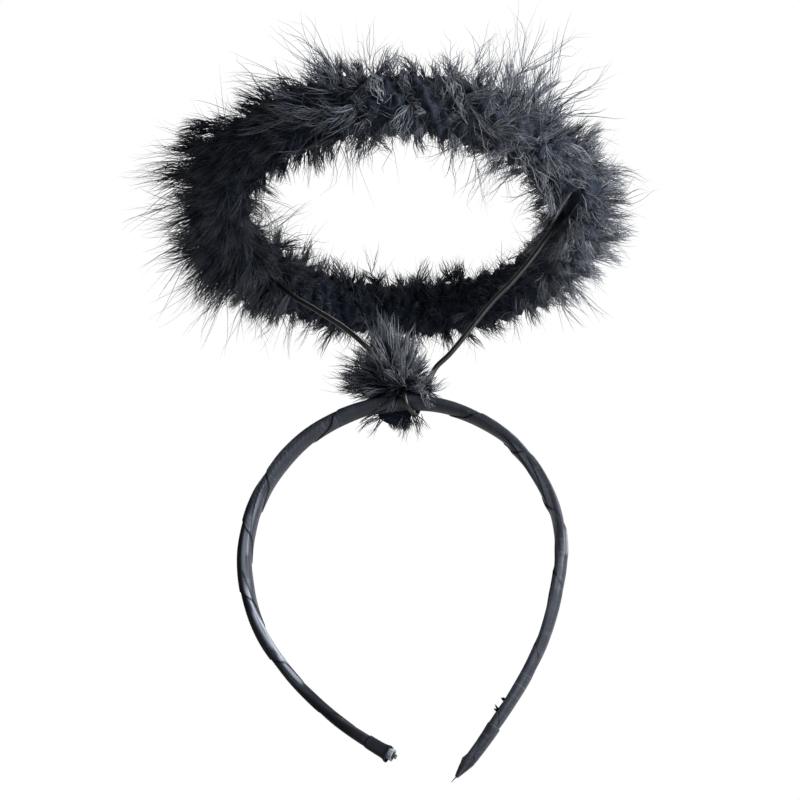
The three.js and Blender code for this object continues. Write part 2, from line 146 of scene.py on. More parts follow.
@dataclass
class Surface:
    """Closed triangle mesh in millimetres.

    Attributes:
        points: corners, one row each.
        faces: three corner numbers for each triangle, anticlockwise from outside.
        uv: place of each corner in the finish's pattern, in millimetres, or None.
        marks: named values at each corner, for the finish.
    """

    points: np.ndarray
    faces: np.ndarray
    uv: np.ndarray | None = None
    marks: dict[str, np.ndarray] | None = None

    @classmethod
    def through(cls, grid: np.ndarray, uv: np.ndarray | None = None,
                marks: dict[str, np.ndarray] | None = None) -> "Surface":
        """Joins the points of a grid, row to row and column to column.

        Points that meet become one, and triangles whose corners meet are left out. The rows run along
        the piece, and the columns run anticlockwise seen from the last row.

        Args:
            grid: points as (rows, columns, 3).
            uv: place in the pattern as (rows, columns, 2).
            marks: named values as (rows, columns).

        Returns:
            The surface.
        """
        rows, columns = grid.shape[:2]
        corner = np.arange(rows * columns).reshape(rows, columns)
        near, next_near = corner[:-1, :-1].ravel(), corner[:-1, 1:].ravel()
        far, next_far = corner[1:, :-1].ravel(), corner[1:, 1:].ravel()
        faces = np.concatenate([
            np.stack([near, next_near, next_far], 1),
            np.stack([near, next_far, far], 1),
        ])
        points = grid.reshape(-1, 3)
        merge_step = 1e-4
        _, first, merged = np.unique(
            np.round(points / merge_step).astype(np.int64), axis=0, return_index=True, return_inverse=True)
        joined = merged.ravel()[faces]
        kept = (joined != np.roll(joined, 1, axis=1)).all(1)
        surface = cls(points[first], joined[kept])
        if uv is not None:
            surface.uv = uv.reshape(-1, 2)[faces[kept]]
        if marks is not None:
            surface.marks = {mark: values.ravel()[first] for mark, values in marks.items()}
        return surface

    def piece(self, name: str, slot: Slot, material: bpy.types.Material, *nodes: str) -> bpy.types.Object:
        """Makes the surface a piece of the headband.

        Args:
            name: the piece's name.
            slot: material slot of the record; not used.
            material: its finish.
            nodes: CAD nodes that it stands for.

        Returns:
            The new object.
        """
        mesh = bpy.data.meshes.new(name)
        mesh.vertices.add(len(self.points))
        mesh.vertices.foreach_set("co", (self.points * MM).astype(np.float32).ravel())
        mesh.loops.add(self.faces.size)
        mesh.loops.foreach_set("vertex_index", self.faces.astype(np.int32).ravel())
        mesh.polygons.add(len(self.faces))
        mesh.polygons.foreach_set("loop_start", np.arange(0, self.faces.size, 3, dtype=np.int32))
        mesh.polygons.foreach_set("use_smooth", np.ones(len(self.faces), dtype=bool))
        mesh.update(calc_edges=True)
        if self.uv is not None:
            layer = mesh.uv_layers.new(name="weave")
            layer.data.foreach_set("uv", self.uv.astype(np.float32).ravel())
        for mark, values in (self.marks or {}).items():
            attribute = mesh.attributes.new(mark, "FLOAT", "POINT")
            attribute.data.foreach_set("value", values.astype(np.float32).ravel())
        mesh.materials.append(material)
        thing = bpy.data.objects.new(name, mesh)
        bpy.context.scene.collection.objects.link(thing)
        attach(thing, BODY)
        if nodes:
            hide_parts(*nodes)
        log.info("%s: %d triangles", name, len(self.faces))
        return thing


@dataclass(frozen=True)
class DyedDown:
    """Marabou down, dyed black: soft barbs that drink the light, charcoal where thin and in painted light.

    The dye is deepest near the quill and wears to a plain grey at the tips. Barbs differ in how much dye
    they took, and the fine barbules give each one a faint, dusty sheen. The matted heart has tufts half a
    millimetre apart, which is twice as coarse as real down, so that they show.
    """

    deep: str = "#0a111c"
    charcoal: str = "#6d7178"
    tip: str = "#4c4d50"
    fuzz: float = 0.5
    roughness: float = 0.5
    gloss: float = 0.02
    sheen: float = 0.01

    def material(self) -> bpy.types.Material:
        """Makes the material. The marks `tone` and `along` tell barb from barb and root from tip."""
        material, tree = new_material("marabou_down_dyed_black")
        tone = add_node(tree, "Attribute", attribute_name="tone")
        along = add_node(tree, "Attribute", attribute_name="along")
        place = add_node(tree, "TexCoord")
        fuzz = add_node(tree, "TexNoise", {"Vector": place.outputs["Object"], "Scale": 1 / (self.fuzz * MM),
                                           "Detail": 3.0, "Distortion": 1.5})
        patches = add_node(tree, "MapRange", {"Value": fuzz.outputs["Fac"], "From Min": 0.3,
                                              "From Max": 0.75, "To Min": -0.1, "To Max": 0.12})
        # tone: each barb's own paleness plus painted light, paler where the key lamp lights
        uneven = add_node(tree, "Math", {0: tone.outputs["Fac"], 1: patches.outputs["Result"]},
                          operation="ADD", use_clamp=True)
        dyed = add_node(tree, "Mix", {SHARE: uneven.outputs["Value"], FROM_COLOUR: linear(self.deep),
                                      TO_COLOUR: linear(self.charcoal)}, data_type="RGBA")
        bump = add_node(tree, "Bump", {"Height": fuzz.outputs["Fac"], "Strength": 0.8,
                                       "Distance": 0.4 * MM})
        fade = add_node(tree, "MapRange", {"Value": along.outputs["Fac"], "From Min": 0.45,
                                           "To Max": 0.55})
        worn = add_node(tree, "Mix", {SHARE: fade.outputs["Result"],
                                      FROM_COLOUR: dyed.outputs[MIXED_COLOUR],
                                      TO_COLOUR: linear(self.tip)}, data_type="RGBA")
        shader = add_node(tree, "BsdfPrincipled", {
            "Base Color": worn.outputs[MIXED_COLOUR],
            "Roughness": self.roughness,
            "Specular IOR Level": self.gloss,
            "Sheen Weight": self.sheen,
            "Sheen Roughness": 0.5,
            "Normal": bump.outputs["Normal"],
        })
        add_node(tree, "OutputMaterial", {"Surface": shader.outputs["BSDF"]})
        return material


@dataclass(frozen=True)
class SatinWeave:
    """Polyester satin ribbon, woven: long floats along the ribbon.

    Its shine along the folds and its dark faces are painted into its colour: painted highlights lighten it
    and painted shade darkens it where the marks say. Threads lie 0.1 mm apart on the real ribbon, and are
    drawn 0.4 mm apart so that they show.
    """

    ground: str = "#0d0f15"
    float_thread: str = "#24272e"
    rubbed: str = "#464b54"
    # painted shade: the near-black that the painted shade mark mixes in
    painted_shade_colour: str = "#04060b"
    # painted highlight: the pale slate that the painted highlight mark mixes in
    painted_highlight: str = "#696f79"
    thread: float = 0.4  # millimetres from thread to thread
    roughness: float = 0.42
    shaded_roughness: float = 0.95

    def material(self) -> bpy.types.Material:
        """Makes the material. It reads the ribbon's own map, in millimetres along and across the strip.

        The marks `painted_shade` and `painted_highlight` say where painted shade darkens the colour and
        where a painted highlight lightens it.
        """
        material, tree = new_material("polyester_satin_slate")
        place = add_node(tree, "UVMap", uv_map="weave")
        floats = add_node(tree, "Mapping", {"Vector": place.outputs["UV"], "Scale": (0.12, 1.0, 1.0)})
        thread = add_node(tree, "TexWave", {
            "Vector": floats.outputs["Vector"],
            "Scale": math.pi / (10 * self.thread),
            "Distortion": 1.2,
            "Detail": 1.0,
        }, bands_direction="Y")
        crush = add_node(tree, "TexNoise", {"Vector": place.outputs["UV"], "Scale": 0.11, "Detail": 4.0})
        rub = add_node(tree, "TexNoise", {"Vector": place.outputs["UV"], "Scale": 0.6, "Detail": 5.0,
                                          "Roughness": 0.65})
        woven = add_node(tree, "Mix", {SHARE: crush.outputs["Fac"], FROM_COLOUR: linear(self.ground),
                                       TO_COLOUR: linear(self.float_thread)}, data_type="RGBA")
        worn = add_node(tree, "MapRange", {"Value": rub.outputs["Fac"], "From Min": 0.56, "From Max": 0.74,
                                           "To Max": 0.5})
        colour = add_node(tree, "Mix", {SHARE: worn.outputs["Result"],
                                        FROM_COLOUR: woven.outputs[MIXED_COLOUR],
                                        TO_COLOUR: linear(self.rubbed)}, data_type="RGBA")
        # painted shade and painted highlight, read from marks on the mesh
        painted_shade = add_node(tree, "Attribute", attribute_name="painted_shade")
        painted_highlight = add_node(tree, "Attribute", attribute_name="painted_highlight")
        shining = add_node(tree, "Mix", {SHARE: painted_highlight.outputs["Fac"],
                                         FROM_COLOUR: colour.outputs[MIXED_COLOUR],
                                         TO_COLOUR: linear(self.painted_highlight)}, data_type="RGBA")
        shaded = add_node(tree, "Mix", {SHARE: painted_shade.outputs["Fac"],
                                        FROM_COLOUR: shining.outputs[MIXED_COLOUR],
                                        TO_COLOUR: linear(self.painted_shade_colour)}, data_type="RGBA")
        even = add_node(tree, "MapRange", {"Value": crush.outputs["Fac"], "To Min": self.roughness - 0.08,
                                           "To Max": self.roughness + 0.12})
        # rougher under painted shade, so that no real highlight shows there
        gloss = add_node(tree, "Mix", {SHARE: painted_shade.outputs["Fac"], FROM_VALUE: even.outputs["Result"],
                                       TO_VALUE: self.shaded_roughness})
        relief = add_node(tree, "Math", {0: thread.outputs["Fac"], 1: crush.outputs["Fac"]},
                          operation="ADD")
        bump = add_node(tree, "Bump", {"Height": relief.outputs["Value"], "Strength": 0.25,
                                       "Distance": 0.2 * MM})
        shader = add_node(tree, "BsdfPrincipled", {
            "Base Color": shaded.outputs[MIXED_COLOUR],
            "Roughness": gloss.outputs[MIXED_VALUE],
            "Specular IOR Level": 0.12,
            "Normal": bump.outputs["Normal"],
        })
        add_node(tree, "OutputMaterial", {"Surface": shader.outputs["BSDF"]})
        return material


@dataclass(frozen=True)
class CoatedWire:
    """Black plastic-coated steel wire, drawn: matt, with a thin streak of light and small scuffs."""

    coat: str = "#040404"
    scuff: str = "#141413"
    grain: float = 1.5  # millimetres from scuff to scuff
    roughness: float = 0.36

    def material(self) -> bpy.types.Material:
        """Makes the material, patterned in the piece's own coordinates."""
        material, tree = new_material("coated_steel_wire_black")
        place = add_node(tree, "TexCoord")
        scuffs = add_node(tree, "TexNoise", {"Vector": place.outputs["Object"],
                                             "Scale": 1 / (self.grain * MM), "Detail": 4.0})
        share = add_node(tree, "MapRange", {"Value": scuffs.outputs["Fac"], "From Min": 0.55,
                                            "From Max": 0.8})
        colour = add_node(tree, "Mix", {SHARE: share.outputs["Result"], FROM_COLOUR: linear(self.coat),
                                        TO_COLOUR: linear(self.scuff)}, data_type="RGBA")
        gloss = add_node(tree, "MapRange", {"Value": scuffs.outputs["Fac"],
                                            "To Min": self.roughness - 0.08,
                                            "To Max": self.roughness + 0.14})
        bump = add_node(tree, "Bump", {"Height": scuffs.outputs["Fac"], "Strength": 0.2,
                                       "Distance": 0.1 * MM})
        shader = add_node(tree, "BsdfPrincipled", {
            "Base Color": colour.outputs[MIXED_COLOUR],
            "Roughness": gloss.outputs["Result"],
            "Specular IOR Level": 0.2,
            "Normal": bump.outputs["Normal"],
        })
        add_node(tree, "OutputMaterial", {"Surface": shader.outputs["BSDF"]})
        return material


@dataclass(frozen=True)
class MouldedPlastic:
    """Polypropylene hairband core, injection moulded: black with a low gloss and fine orange peel."""

    colour: str = "#131316"
    peel: float = 0.6  # millimetres from dimple to dimple
    roughness: float = 0.38

    def material(self) -> bpy.types.Material:
        """Makes the material, patterned in the piece's own coordinates."""
        material, tree = new_material("polypropylene_moulded_black")
        place = add_node(tree, "TexCoord")
        peel = add_node(tree, "TexNoise", {"Vector": place.outputs["Object"],
                                           "Scale": 1 / (self.peel * MM), "Detail": 2.0})
        gloss = add_node(tree, "MapRange", {"Value": peel.outputs["Fac"],
                                            "To Min": self.roughness - 0.06,
                                            "To Max": self.roughness + 0.1})
        bump = add_node(tree, "Bump", {"Height": peel.outputs["Fac"], "Strength": 0.3,
                                       "Distance": 0.05 * MM})
        shader = add_node(tree, "BsdfPrincipled", {
            "Base Color": linear(self.colour),
            "Roughness": gloss.outputs["Result"],
            "Normal": bump.outputs["Normal"],
        })
        add_node(tree, "OutputMaterial", {"Surface": shader.outputs["BSDF"]})
        return material


@dataclass(frozen=True)
class BandArch:
    """Middle line and section of the headband.

    Each arm is a row of arcs from the crown down: the degrees that an arc turns, and its radius as a
    share of the crown's. Lengths along the arch are signed, with the left arm's below 0.

    Attributes:
        crown_radius: radius of the middle line at the crown.
        left_arcs: the left arm's arcs.
        right_arcs: the right arm's arcs.
        middle_height: height of the middle line at the crown.
        core_thickness: the core's thickness.
        crown_width: the core's width at the crown.
        tip_width: its width at both tips.
        taper_from: share of the arm where the core starts to taper.
        squareness: how square the core's section is, from 2 for an ellipse upwards.
    """

    crown_radius: float = 63.1
    left_arcs: tuple[tuple[float, float], ...] = ((98.4, 1.0), (29.1, 1.1), (26.2, 2.11))
    right_arcs: tuple[tuple[float, float], ...] = ((98.4, 1.0), (25.3, 1.8), (3.6, 7.54))
    middle_height: float = 1.8
    core_thickness: float = 1.8
    crown_width: float = 9.4
    tip_width: float = 4.2
    taper_from: float = 0.35
    squareness: float = 4.0

    def arm(self, arcs: tuple[tuple[float, float], ...]) -> float:
        """Length of one arm."""
        return sum(math.radians(turn) * radius * self.crown_radius for turn, radius in arcs)

    @property
    def left(self) -> float:
        """Length of the left arm."""
        return self.arm(self.left_arcs)

    @property
    def right(self) -> float:
        """Length of the right arm."""
        return self.arm(self.right_arcs)

    def follow(self, arcs: tuple[tuple[float, float], ...], length: np.ndarray) -> tuple:
        """Follows one arm's arcs: each adds its radius times the change in the turn's sine and cosine.

        Args:
            arcs: the arm's arcs.
            length: distances from the crown, 0 or more.

        Returns:
            How far to the side, how high and how far turned the middle line is there.
        """
        x, z = np.zeros_like(length), np.full_like(length, self.middle_height)
        turned, remaining = np.zeros_like(length), length.copy()
        for number, (turn, share) in enumerate(arcs):
            radius = share * self.crown_radius
            limit = math.inf if number == len(arcs) - 1 else math.radians(turn)
            step = np.minimum(remaining / radius, limit)
            x += radius * (np.sin(turned + step) - np.sin(turned))
            z += radius * (np.cos(turned + step) - np.cos(turned))
            turned += step
            remaining -= step * radius
        return x, z, turned

    def middle(self, length: np.ndarray) -> tuple:
        """Follows the middle line on both arms.

        Args:
            length: signed lengths along the arch.

        Returns:
            Where it lies to the right, how high and how far turned it is there.
        """
        is_left = length < 0
        left = self.follow(self.left_arcs, np.abs(length))
        right = self.follow(self.right_arcs, np.abs(length))
        return (np.where(is_left, -left[0], right[0]), np.where(is_left, left[1], right[1]),
                np.where(is_left, -left[2], right[2]))

    def half_width(self, length: np.ndarray) -> np.ndarray:
        """Half the core's width: the crown's, and from some way down each arm on evenly less.

        Args:
            length: signed lengths along the arch.

        Returns:
            Half widths.
        """
        share = np.abs(length) / np.where(length < 0, self.left, self.right)
        taper = np.clip((share - self.taper_from) / (1 - self.taper_from), 0, 1)
        return (self.crown_width + (self.tip_width - self.crown_width) * taper) / 2

    def skin(self, length: np.ndarray, angle: np.ndarray, lift: np.ndarray, size: np.ndarray | float = 1.0,
             squareness: float | None = None) -> np.ndarray:
        """Points round the band, clear of its core.

        The section is a rounded rectangle: the cosine and sine of the angle, each to the power of two
        over the squareness, times half the width and half the thickness, with the lift added to both.

        Args:
            length: signed lengths along the arch.
            angle: radians round the section, from the back edge over the top.
            lift: clear distance from the core.
            size: factor on the section.
            squareness: exponent of the section, the core's own if it isn't given.

        Returns:
            Points, in an array of one more axis.
        """
        length, angle, lift, size = np.broadcast_arrays(length, angle, lift, size)
        bulge = squareness or self.squareness
        deep = squared(np.cos(angle), bulge) * size * (self.half_width(length) + lift)
        out = squared(np.sin(angle), bulge) * size * (self.core_thickness / 2 + lift)
        x, z, turned = self.middle(length)
        return np.stack([x + out * np.sin(turned), deep, z + out * np.cos(turned)], -1)


@dataclass(frozen=True)
class RibbonWinding:
    """Satin ribbon wound in one long spiral round the core, each winding lapped over the one before.

    Folds and painted stripes run lengthwise. Each is a row of numbers: lengths where it starts and ends,
    degrees round the section there, height or strength, and half width in degrees.

    Attributes:
        arch: the core's arch.
        pitch: length of arch from seam to seam.
        first_seam: length from the crown to a seam on the inner face.
        wall: how far the lowest layer lies off the core.
        lap: height of a lapped edge.
        puff: how far the ribbon stands off the core's edges just past a seam.
        tip_shown: length of the core's tip that stands out of the left end.
        fade: length over which the relief fades at both ends.
        strays: how far some of the seams stray along the arch, by number.
        mouth: how far the left end's edge stands open.
        seam_shade: how dark the painted shade at the foot of a lapped edge is.
        rim_painted_highlight: painted highlight on the left end's edge, and rim_length over what length.
        inner_face_share: share of the way round the section, from the back edge to the inner face.
        squareness: how square the wound section is.
        folds: ridges where the ribbon was pulled tight, and lumps of slack.
        painted_stripes: painted highlights (above 0) and painted shade (below 0), in lengthwise stripes.
        columns: corners round the section.
        row_step: length from row to row.
        seed: of the random numbers.
    """

    arch: BandArch
    pitch: float = 28.7
    first_seam: float = -8.0
    wall: float = 1.05
    lap: float = 0.35
    puff: float = 0.25
    tip_shown: float = 1.2
    fade: float = 9.0
    mouth: float = 0.45
    seam_shade: float = 0.85
    rim_painted_highlight: float = 0.9
    rim_length: float = 2.4
    inner_face_share: float = 0.75
    squareness: float = 2.8
    strays: tuple[tuple[int, float], ...] = ((-2, -7.0), (-1, 1.7), (0, 0.0), (1, 4.3), (2, 1.6))
    folds: tuple[tuple[float, float, float, float, float, float], ...] = (
        (-66, -112, 190, 236, 0.35, 15), (-112, -176, 172, 238, 0.45, 15), (-150, -197, 160, 205, 0.35, 14),
        (-22, -62, 215, 262, 0.2, 14), (-45, -80, 160, 172, 0.2, 12), (-60, -125, 110, 130, 0.45, 24),
        (24, 62, 188, 232, 0.3, 14), (44, 84, 240, 275, 0.3, 14), (78, 118, 168, 196, 0.3, 12),
        (104, 182, 228, 214, 0.4, 15), (150, 190, 176, 184, 0.25, 12), (-140, -60, 100, 60, 0.25, 16),
        (40, 130, 60, 110, 0.25, 16), (-90, -20, 330, 350, 0.25, 16), (60, 150, 350, 330, 0.25, 16),
        (50, 67, 262, 266, 0.8, 36), (64, 84, 258, 262, 0.9, 36), (90, 104, 112, 118, 0.6, 30),
        (-20, -62, 108, 116, 0.35, 26), (-62, -118, 250, 262, 0.45, 26), (-66, -150, 108, 120, 0.4, 22),
        (8, 60, 262, 262, 0.35, 40), (-70, 8, 262, 262, 0.55, 44), (96, 124, 250, 240, 0.45, 22),
    )
    painted_stripes: tuple[tuple[float, float, float, float, float, float], ...] = (
        (-70, -122, 124, 140, -0.92, 34), (-72, -116, 205, 208, 0.3, 24), (-111, -131, 178, 240, 0.75, 15),
        (-125, -149, 248, 222, 0.6, 24), (-113, -153, 142, 160, -0.8, 31), (-142, -160, 196, 206, 0.9, 14),
        (-62, -92, 158, 226, -0.8, 6), (-105, -125, 172, 252, -0.8, 6), (-82, -118, 176, 176, 0.3, 12),
        (-121, -142, 188, 196, 0.6, 15), (-98, -110, 214, 214, -0.45, 16),
        (-147, -186, 132, 150, -0.75, 40), (-156, -203, 180, 180, -0.75, 90), (-10, -62, 116, 126, -0.6, 20),
        (-62, 50, 225, 225, -0.25, 70), (8, 60, 118, 112, -0.7, 18), (50, 96, 216, 208, 0.38, 24),
        (44, 68, 196, 262, -0.8, 7), (60, 86, 186, 262, -0.8, 7), (92, 103, 114, 120, 0.5, 12),
        (60, 102, 152, 172, -0.85, 17), (92, 188, 250, 240, -0.95, 24), (96, 132, 200, 200, 0.15, 16),
        (110, 188, 150, 150, -0.3, 17), (100, 176, 178, 178, 0.12, 14),
        (-14, -2, 282, 176, -0.85, 8),
    )
    columns: int = 64
    row_step: float = 1.0
    seed: int = 11

    def shares(self, angle: np.ndarray) -> np.ndarray:
        """Share of the way round the wound section at each corner.

        Args:
            angle: radians round the section.

        Returns:
            Shares, from 0 to 1.
        """
        ring = self.arch.skin(np.zeros_like(angle), angle, np.full_like(angle, self.wall))
        steps = np.linalg.norm(np.diff(ring, axis=0), axis=1)
        reached = np.concatenate([[0.0], np.cumsum(steps)])
        return reached / reached[-1]

    @staticmethod
    def lengthwise(table: tuple, length: np.ndarray, angle: np.ndarray, power: int) -> np.ndarray:
        """Sum of the folds or stripes of a table at each corner.

        Each fades in and out along itself. Across itself it is e to the minus of the distance from its
        middle, as a share of the half width, to the power given.

        Args:
            table: the folds or stripes.
            length: signed lengths along the arch.
            angle: radians round the section.
            power: 2 for a round bell, 4 for one with a flat top.

        Returns:
            Heights or strengths.
        """
        total = np.zeros_like(length)
        for start, end, first, last, peak, half_width in table:
            share = (length - start) / (end - start)
            middle = np.radians(first + (last - first) * share)
            envelope = smooth(share, -0.05, 0.2) * (1 - smooth(share, 0.8, 1.05))
            aside = np.abs((angle - middle) / math.radians(half_width))
            total = total + peak * envelope * np.exp(-aside ** power)
        return total

    def relief(self, phase: np.ndarray, winding: np.ndarray, angle: np.ndarray) -> np.ndarray:
        """Height of the ribbon's outside over its lowest layer.

        A lapped edge rises at once and falls away over the winding as the ribbon under it ends. Just past
        it the ribbon puffs up off the core's edges, by another amount on each winding.

        Args:
            phase: share of the pitch past the seam, 0 to 1.
            winding: number of the winding.
            angle: radians round the section.

        Returns:
            Heights in millimetres.
        """
        rng = np.random.default_rng(self.seed)
        number = (winding - winding.min()).astype(int)
        draws = rng.uniform(-1, 1, (number.max() + 1, 2))[number]
        step = smooth(phase, 0, 0.012) * (1 - smooth(phase, 0.5, 1))
        edge = np.abs(np.cos(angle)) ** 6
        puff = self.puff * edge * np.exp(-((phase - 0.16 - 0.05 * draws[..., 1]) / 0.1) ** 2)
        return self.lap * step + puff * (1 + 0.5 * draws[..., 0])

    def surface(self) -> Surface:
        """Closed sleeve: sheared rows that follow the lapped edge outside, plain rows inside."""
        arch = self.arch
        start, end = -arch.left + self.tip_shown, arch.right
        angle = np.linspace(0, 2 * math.pi, self.columns + 1)
        shares = self.shares(angle)
        seam = self.first_seam + self.inner_face_share * self.pitch
        first = math.floor((start - seam) / self.pitch)
        last = math.ceil((end - seam) / self.pitch) + 1
        edge_rows = np.array([0, 0.004, 0.012, 0.022, 0.034])
        rows = int(self.pitch / self.row_step)
        phases = np.concatenate([edge_rows, np.linspace(0.05, 0.97, rows), [0.986, 0.994]])
        winding = np.repeat(np.arange(first, last + 1), len(phases)).astype(float)
        phase = np.tile(phases, last + 1 - first)
        rng = np.random.default_rng(self.seed + 1)
        strays = rng.uniform(-2.0, 2.0, last + 3 - first)
        for number, stray in self.strays:
            strays[number - first] = stray
        stray = np.interp(winding + phase, np.arange(first, last + 3), strays)
        row_length = seam + (winding + phase) * self.pitch + stray
        length = row_length[:, None] - shares[None, :] * self.pitch
        whole = 0 * length
        relief = self.relief(phase[:, None] + whole, winding[:, None] + whole, angle[None, :] + whole)
        relief = relief + self.lengthwise(self.folds, length, angle[None, :] + whole, 2)
        inside = np.clip(np.minimum(length - start, end - length) / self.fade, 0, 1)
        clipped = np.clip(length, start, end)
        mouth = self.mouth * np.exp(-(clipped - start) / 0.9)
        lift = self.wall + relief * smooth(inside, 0, 1) + mouth
        outer = arch.skin(clipped, angle[None, :], lift, squareness=self.squareness)
        inner_length = np.linspace(end, start, 90)[:, None] + 0 * angle[None, :]
        inner = arch.skin(inner_length, angle[None, :], np.full_like(inner_length, FIT_GAP))
        grid = np.concatenate([outer, inner, outer[:1]])
        around = 2 * (arch.crown_width + arch.core_thickness) + 8 * self.wall
        turns = (winding + phase)[:, None] * around - shares[None, :] * around
        slant = math.hypot(self.pitch, around)
        along = (clipped * self.pitch + turns * around) / slant
        cross = (clipped * around - turns * self.pitch) / slant
        outer_uv = np.stack([along, cross], -1)
        inner_uv = np.stack([inner_length, angle[None, :] + 0 * inner_length], -1)
        uv = np.concatenate([outer_uv, inner_uv, outer_uv[:1]])
        # painted shade at the foot of each lapped edge
        foot = np.exp(-(np.minimum(phase, 1 - phase) / 0.02) ** 2)[:, None] * smooth(inside, 0, 0.5)
        # painted stripes: painted highlights above 0, painted shade below 0
        painted_stripes = self.lengthwise(self.painted_stripes, length, angle[None, :] + whole, 4)
        painted_shade = np.clip(self.seam_shade * foot - np.minimum(painted_stripes, 0), 0, 0.97)
        # painted highlight round the left end's edge, with no painted shade there
        rim = np.exp(-((clipped - start) / self.rim_length) ** 4)
        painted_shade = painted_shade * (1 - rim)
        painted_highlight = np.clip(painted_stripes + self.rim_painted_highlight * rim, 0, 1)
        marks = {name: np.concatenate([values, 0 * inner[..., 0], values[:1]])
                 for name, values in (("painted_shade", painted_shade), ("painted_highlight", painted_highlight))}
        return Surface.through(grid, uv, marks)


@dataclass(frozen=True)
class RibbonEnds:
    """Last turns of the ribbon over the band's two ends.

    Attributes:
        arch: the core's arch.
        turn_lift: how far the inside of the last turns lies off the core.
        wall: their thickness.
        cuff_start: length from the core's tip to the cuff's edge.
        cuff_rows: the cuff from its edge on: millimetres along, and flare.
        tail_rows: the tail from the core's end on: millimetres along, reach inwards and outwards from the
            middle line, and half width.
        thread: the frayed thread past the tail: millimetres along, and radius.
        frays: threads that stick out of the lapped edge above the tail: length along the arch, degrees
            round the section, reach, and lean down the arm as a share of it.
        cuff_shade: how much painted shade darkens the cuff, all over.
        tail_shade: how much painted shade darkens the tail, in waves round it.
    """

    arch: BandArch
    turn_lift: float = 1.2
    wall: float = 0.4
    cuff_start: float = 3.2
    cuff_rows: tuple[tuple[float, float], ...] = (
        (-0.3, 0.62), (0.0, 0.7), (0.5, 0.5), (1.4, 0.22), (3.0, 0.1), (6.0, 0.04), (9.0, 0.0),
    )
    tail_rows: tuple[tuple[float, float, float, float], ...] = (
        (-14.0, 2.45, 2.5, 3.6), (-9.0, 2.2, 2.5, 3.5), (-3.0, 2.15, 2.5, 3.5), (0.3, 2.3, 2.45, 3.4),
        (2.6, 2.75, 2.1, 3.0), (4.5, 2.1, 1.5, 2.6), (7.0, 1.5, 0.8, 1.9), (9.0, 1.1, 0.4, 1.4),
        (9.9, 0.85, 0.2, 1.1),
    )
    thread: tuple[tuple[float, float], ...] = ((9.2, 0.3), (10.4, 0.22), (11.6, 0.16), (12.6, 0.08))
    frays: tuple[tuple[float, float, float, float], ...] = (
        (163.6, 250, 0.9, 0.2), (164.4, 258, 1.5, -0.2), (168.4, 262, 2.0, -0.5), (169.2, 252, 1.4, -0.1),
    )
    cuff_shade: float = 0.8
    tail_shade: float = 0.12
    columns: int = 64

    def cuff(self) -> Surface:
        """Cuff at the left end: a sleeve flared at its edge, wider outwards, with soft lengthwise folds.

        The lift over the core is the turn's, plus the wall outside, plus the flare times one and a half
        on the outer face down to a half on the inner one, plus a wave of a tenth of a millimetre.

        Returns:
            The cuff.
        """
        along, flare = np.array(self.cuff_rows).T
        place = np.linspace(along[0], along[-1], 40)
        spread = np.interp(place, along, flare)[:, None]
        angle = np.linspace(0, 2 * math.pi, self.columns + 1)[None, :]
        length = -self.arch.left + self.cuff_start + place[:, None] + 0 * angle
        uneven = spread * (1 + 0.5 * np.sin(angle)) + 0.08 * np.sin(5 * angle + 0.3 * place[:, None])
        outer = self.arch.skin(length, angle, self.turn_lift + self.wall + 0.08 + uneven)
        inner = self.arch.skin(length, angle, self.turn_lift + 0.08 + uneven)
        grid = np.concatenate([outer, inner[::-1], outer[:1]])
        around = 6 * angle / (2 * math.pi)
        flat = np.stack([length, 4 * around + 0 * length], -1)
        # painted shade, even all over the cuff
        painted_shade = self.cuff_shade + 0 * grid[..., 0]
        return Surface.through(grid, np.concatenate([flat, flat[::-1], flat[:1]]), {"painted_shade": painted_shade})

    def tail(self) -> Surface:
        """Tail at the right end: a sleeve pulled to a blunt, flat point past the core.

        Each row is a rounded rectangle about the middle line, moved outwards by half the difference of
        its two reaches. Pleats run along it and deepen towards the point.

        Returns:
            The tail.
        """
        along, inwards, outwards, half_width = np.array(self.tail_rows).T
        place = np.linspace(along[0], along[-1], 60)
        angle = np.linspace(0, 2 * math.pi, self.columns + 1)[None, :]
        a, b, w = (np.interp(place, along, column)[:, None] for column in (inwards, outwards, half_width))
        pleat = 0.05 + 0.18 * smooth(place, -2, 7)[:, None]
        fold = 1 + pleat * np.sin(4 * angle + 0.25 * place[:, None]) * np.minimum(1, (a + b) / 2)
        outer = self.rows(place[:, None], angle, a, b, w, fold)
        hollow = np.linspace(along[0], 0.3, 20)[:, None]
        inner = self.arch.skin(self.arch.right + hollow + 0 * angle, angle, self.turn_lift)
        closed = self.arch.skin(self.arch.right + 0.3 + 0 * angle, angle, 0.0, 0.0)
        end = self.rows(np.array([[along[-1] + 0.05]]), angle, a[-1:], b[-1:], w[-1:], 0 * angle)
        grid = np.concatenate([end, outer[::-1], inner, closed])[::-1]
        rows = np.arange(len(grid))[:, None]
        # painted shade in waves round the tail
        painted_shade = self.tail_shade * (1 + np.sin(2 * angle + 0.1 * rows))
        flat = np.stack([0.4 * rows + 0 * angle, 4 * angle + 0 * rows], -1)
        return Surface.through(grid, flat, {"painted_shade": painted_shade})

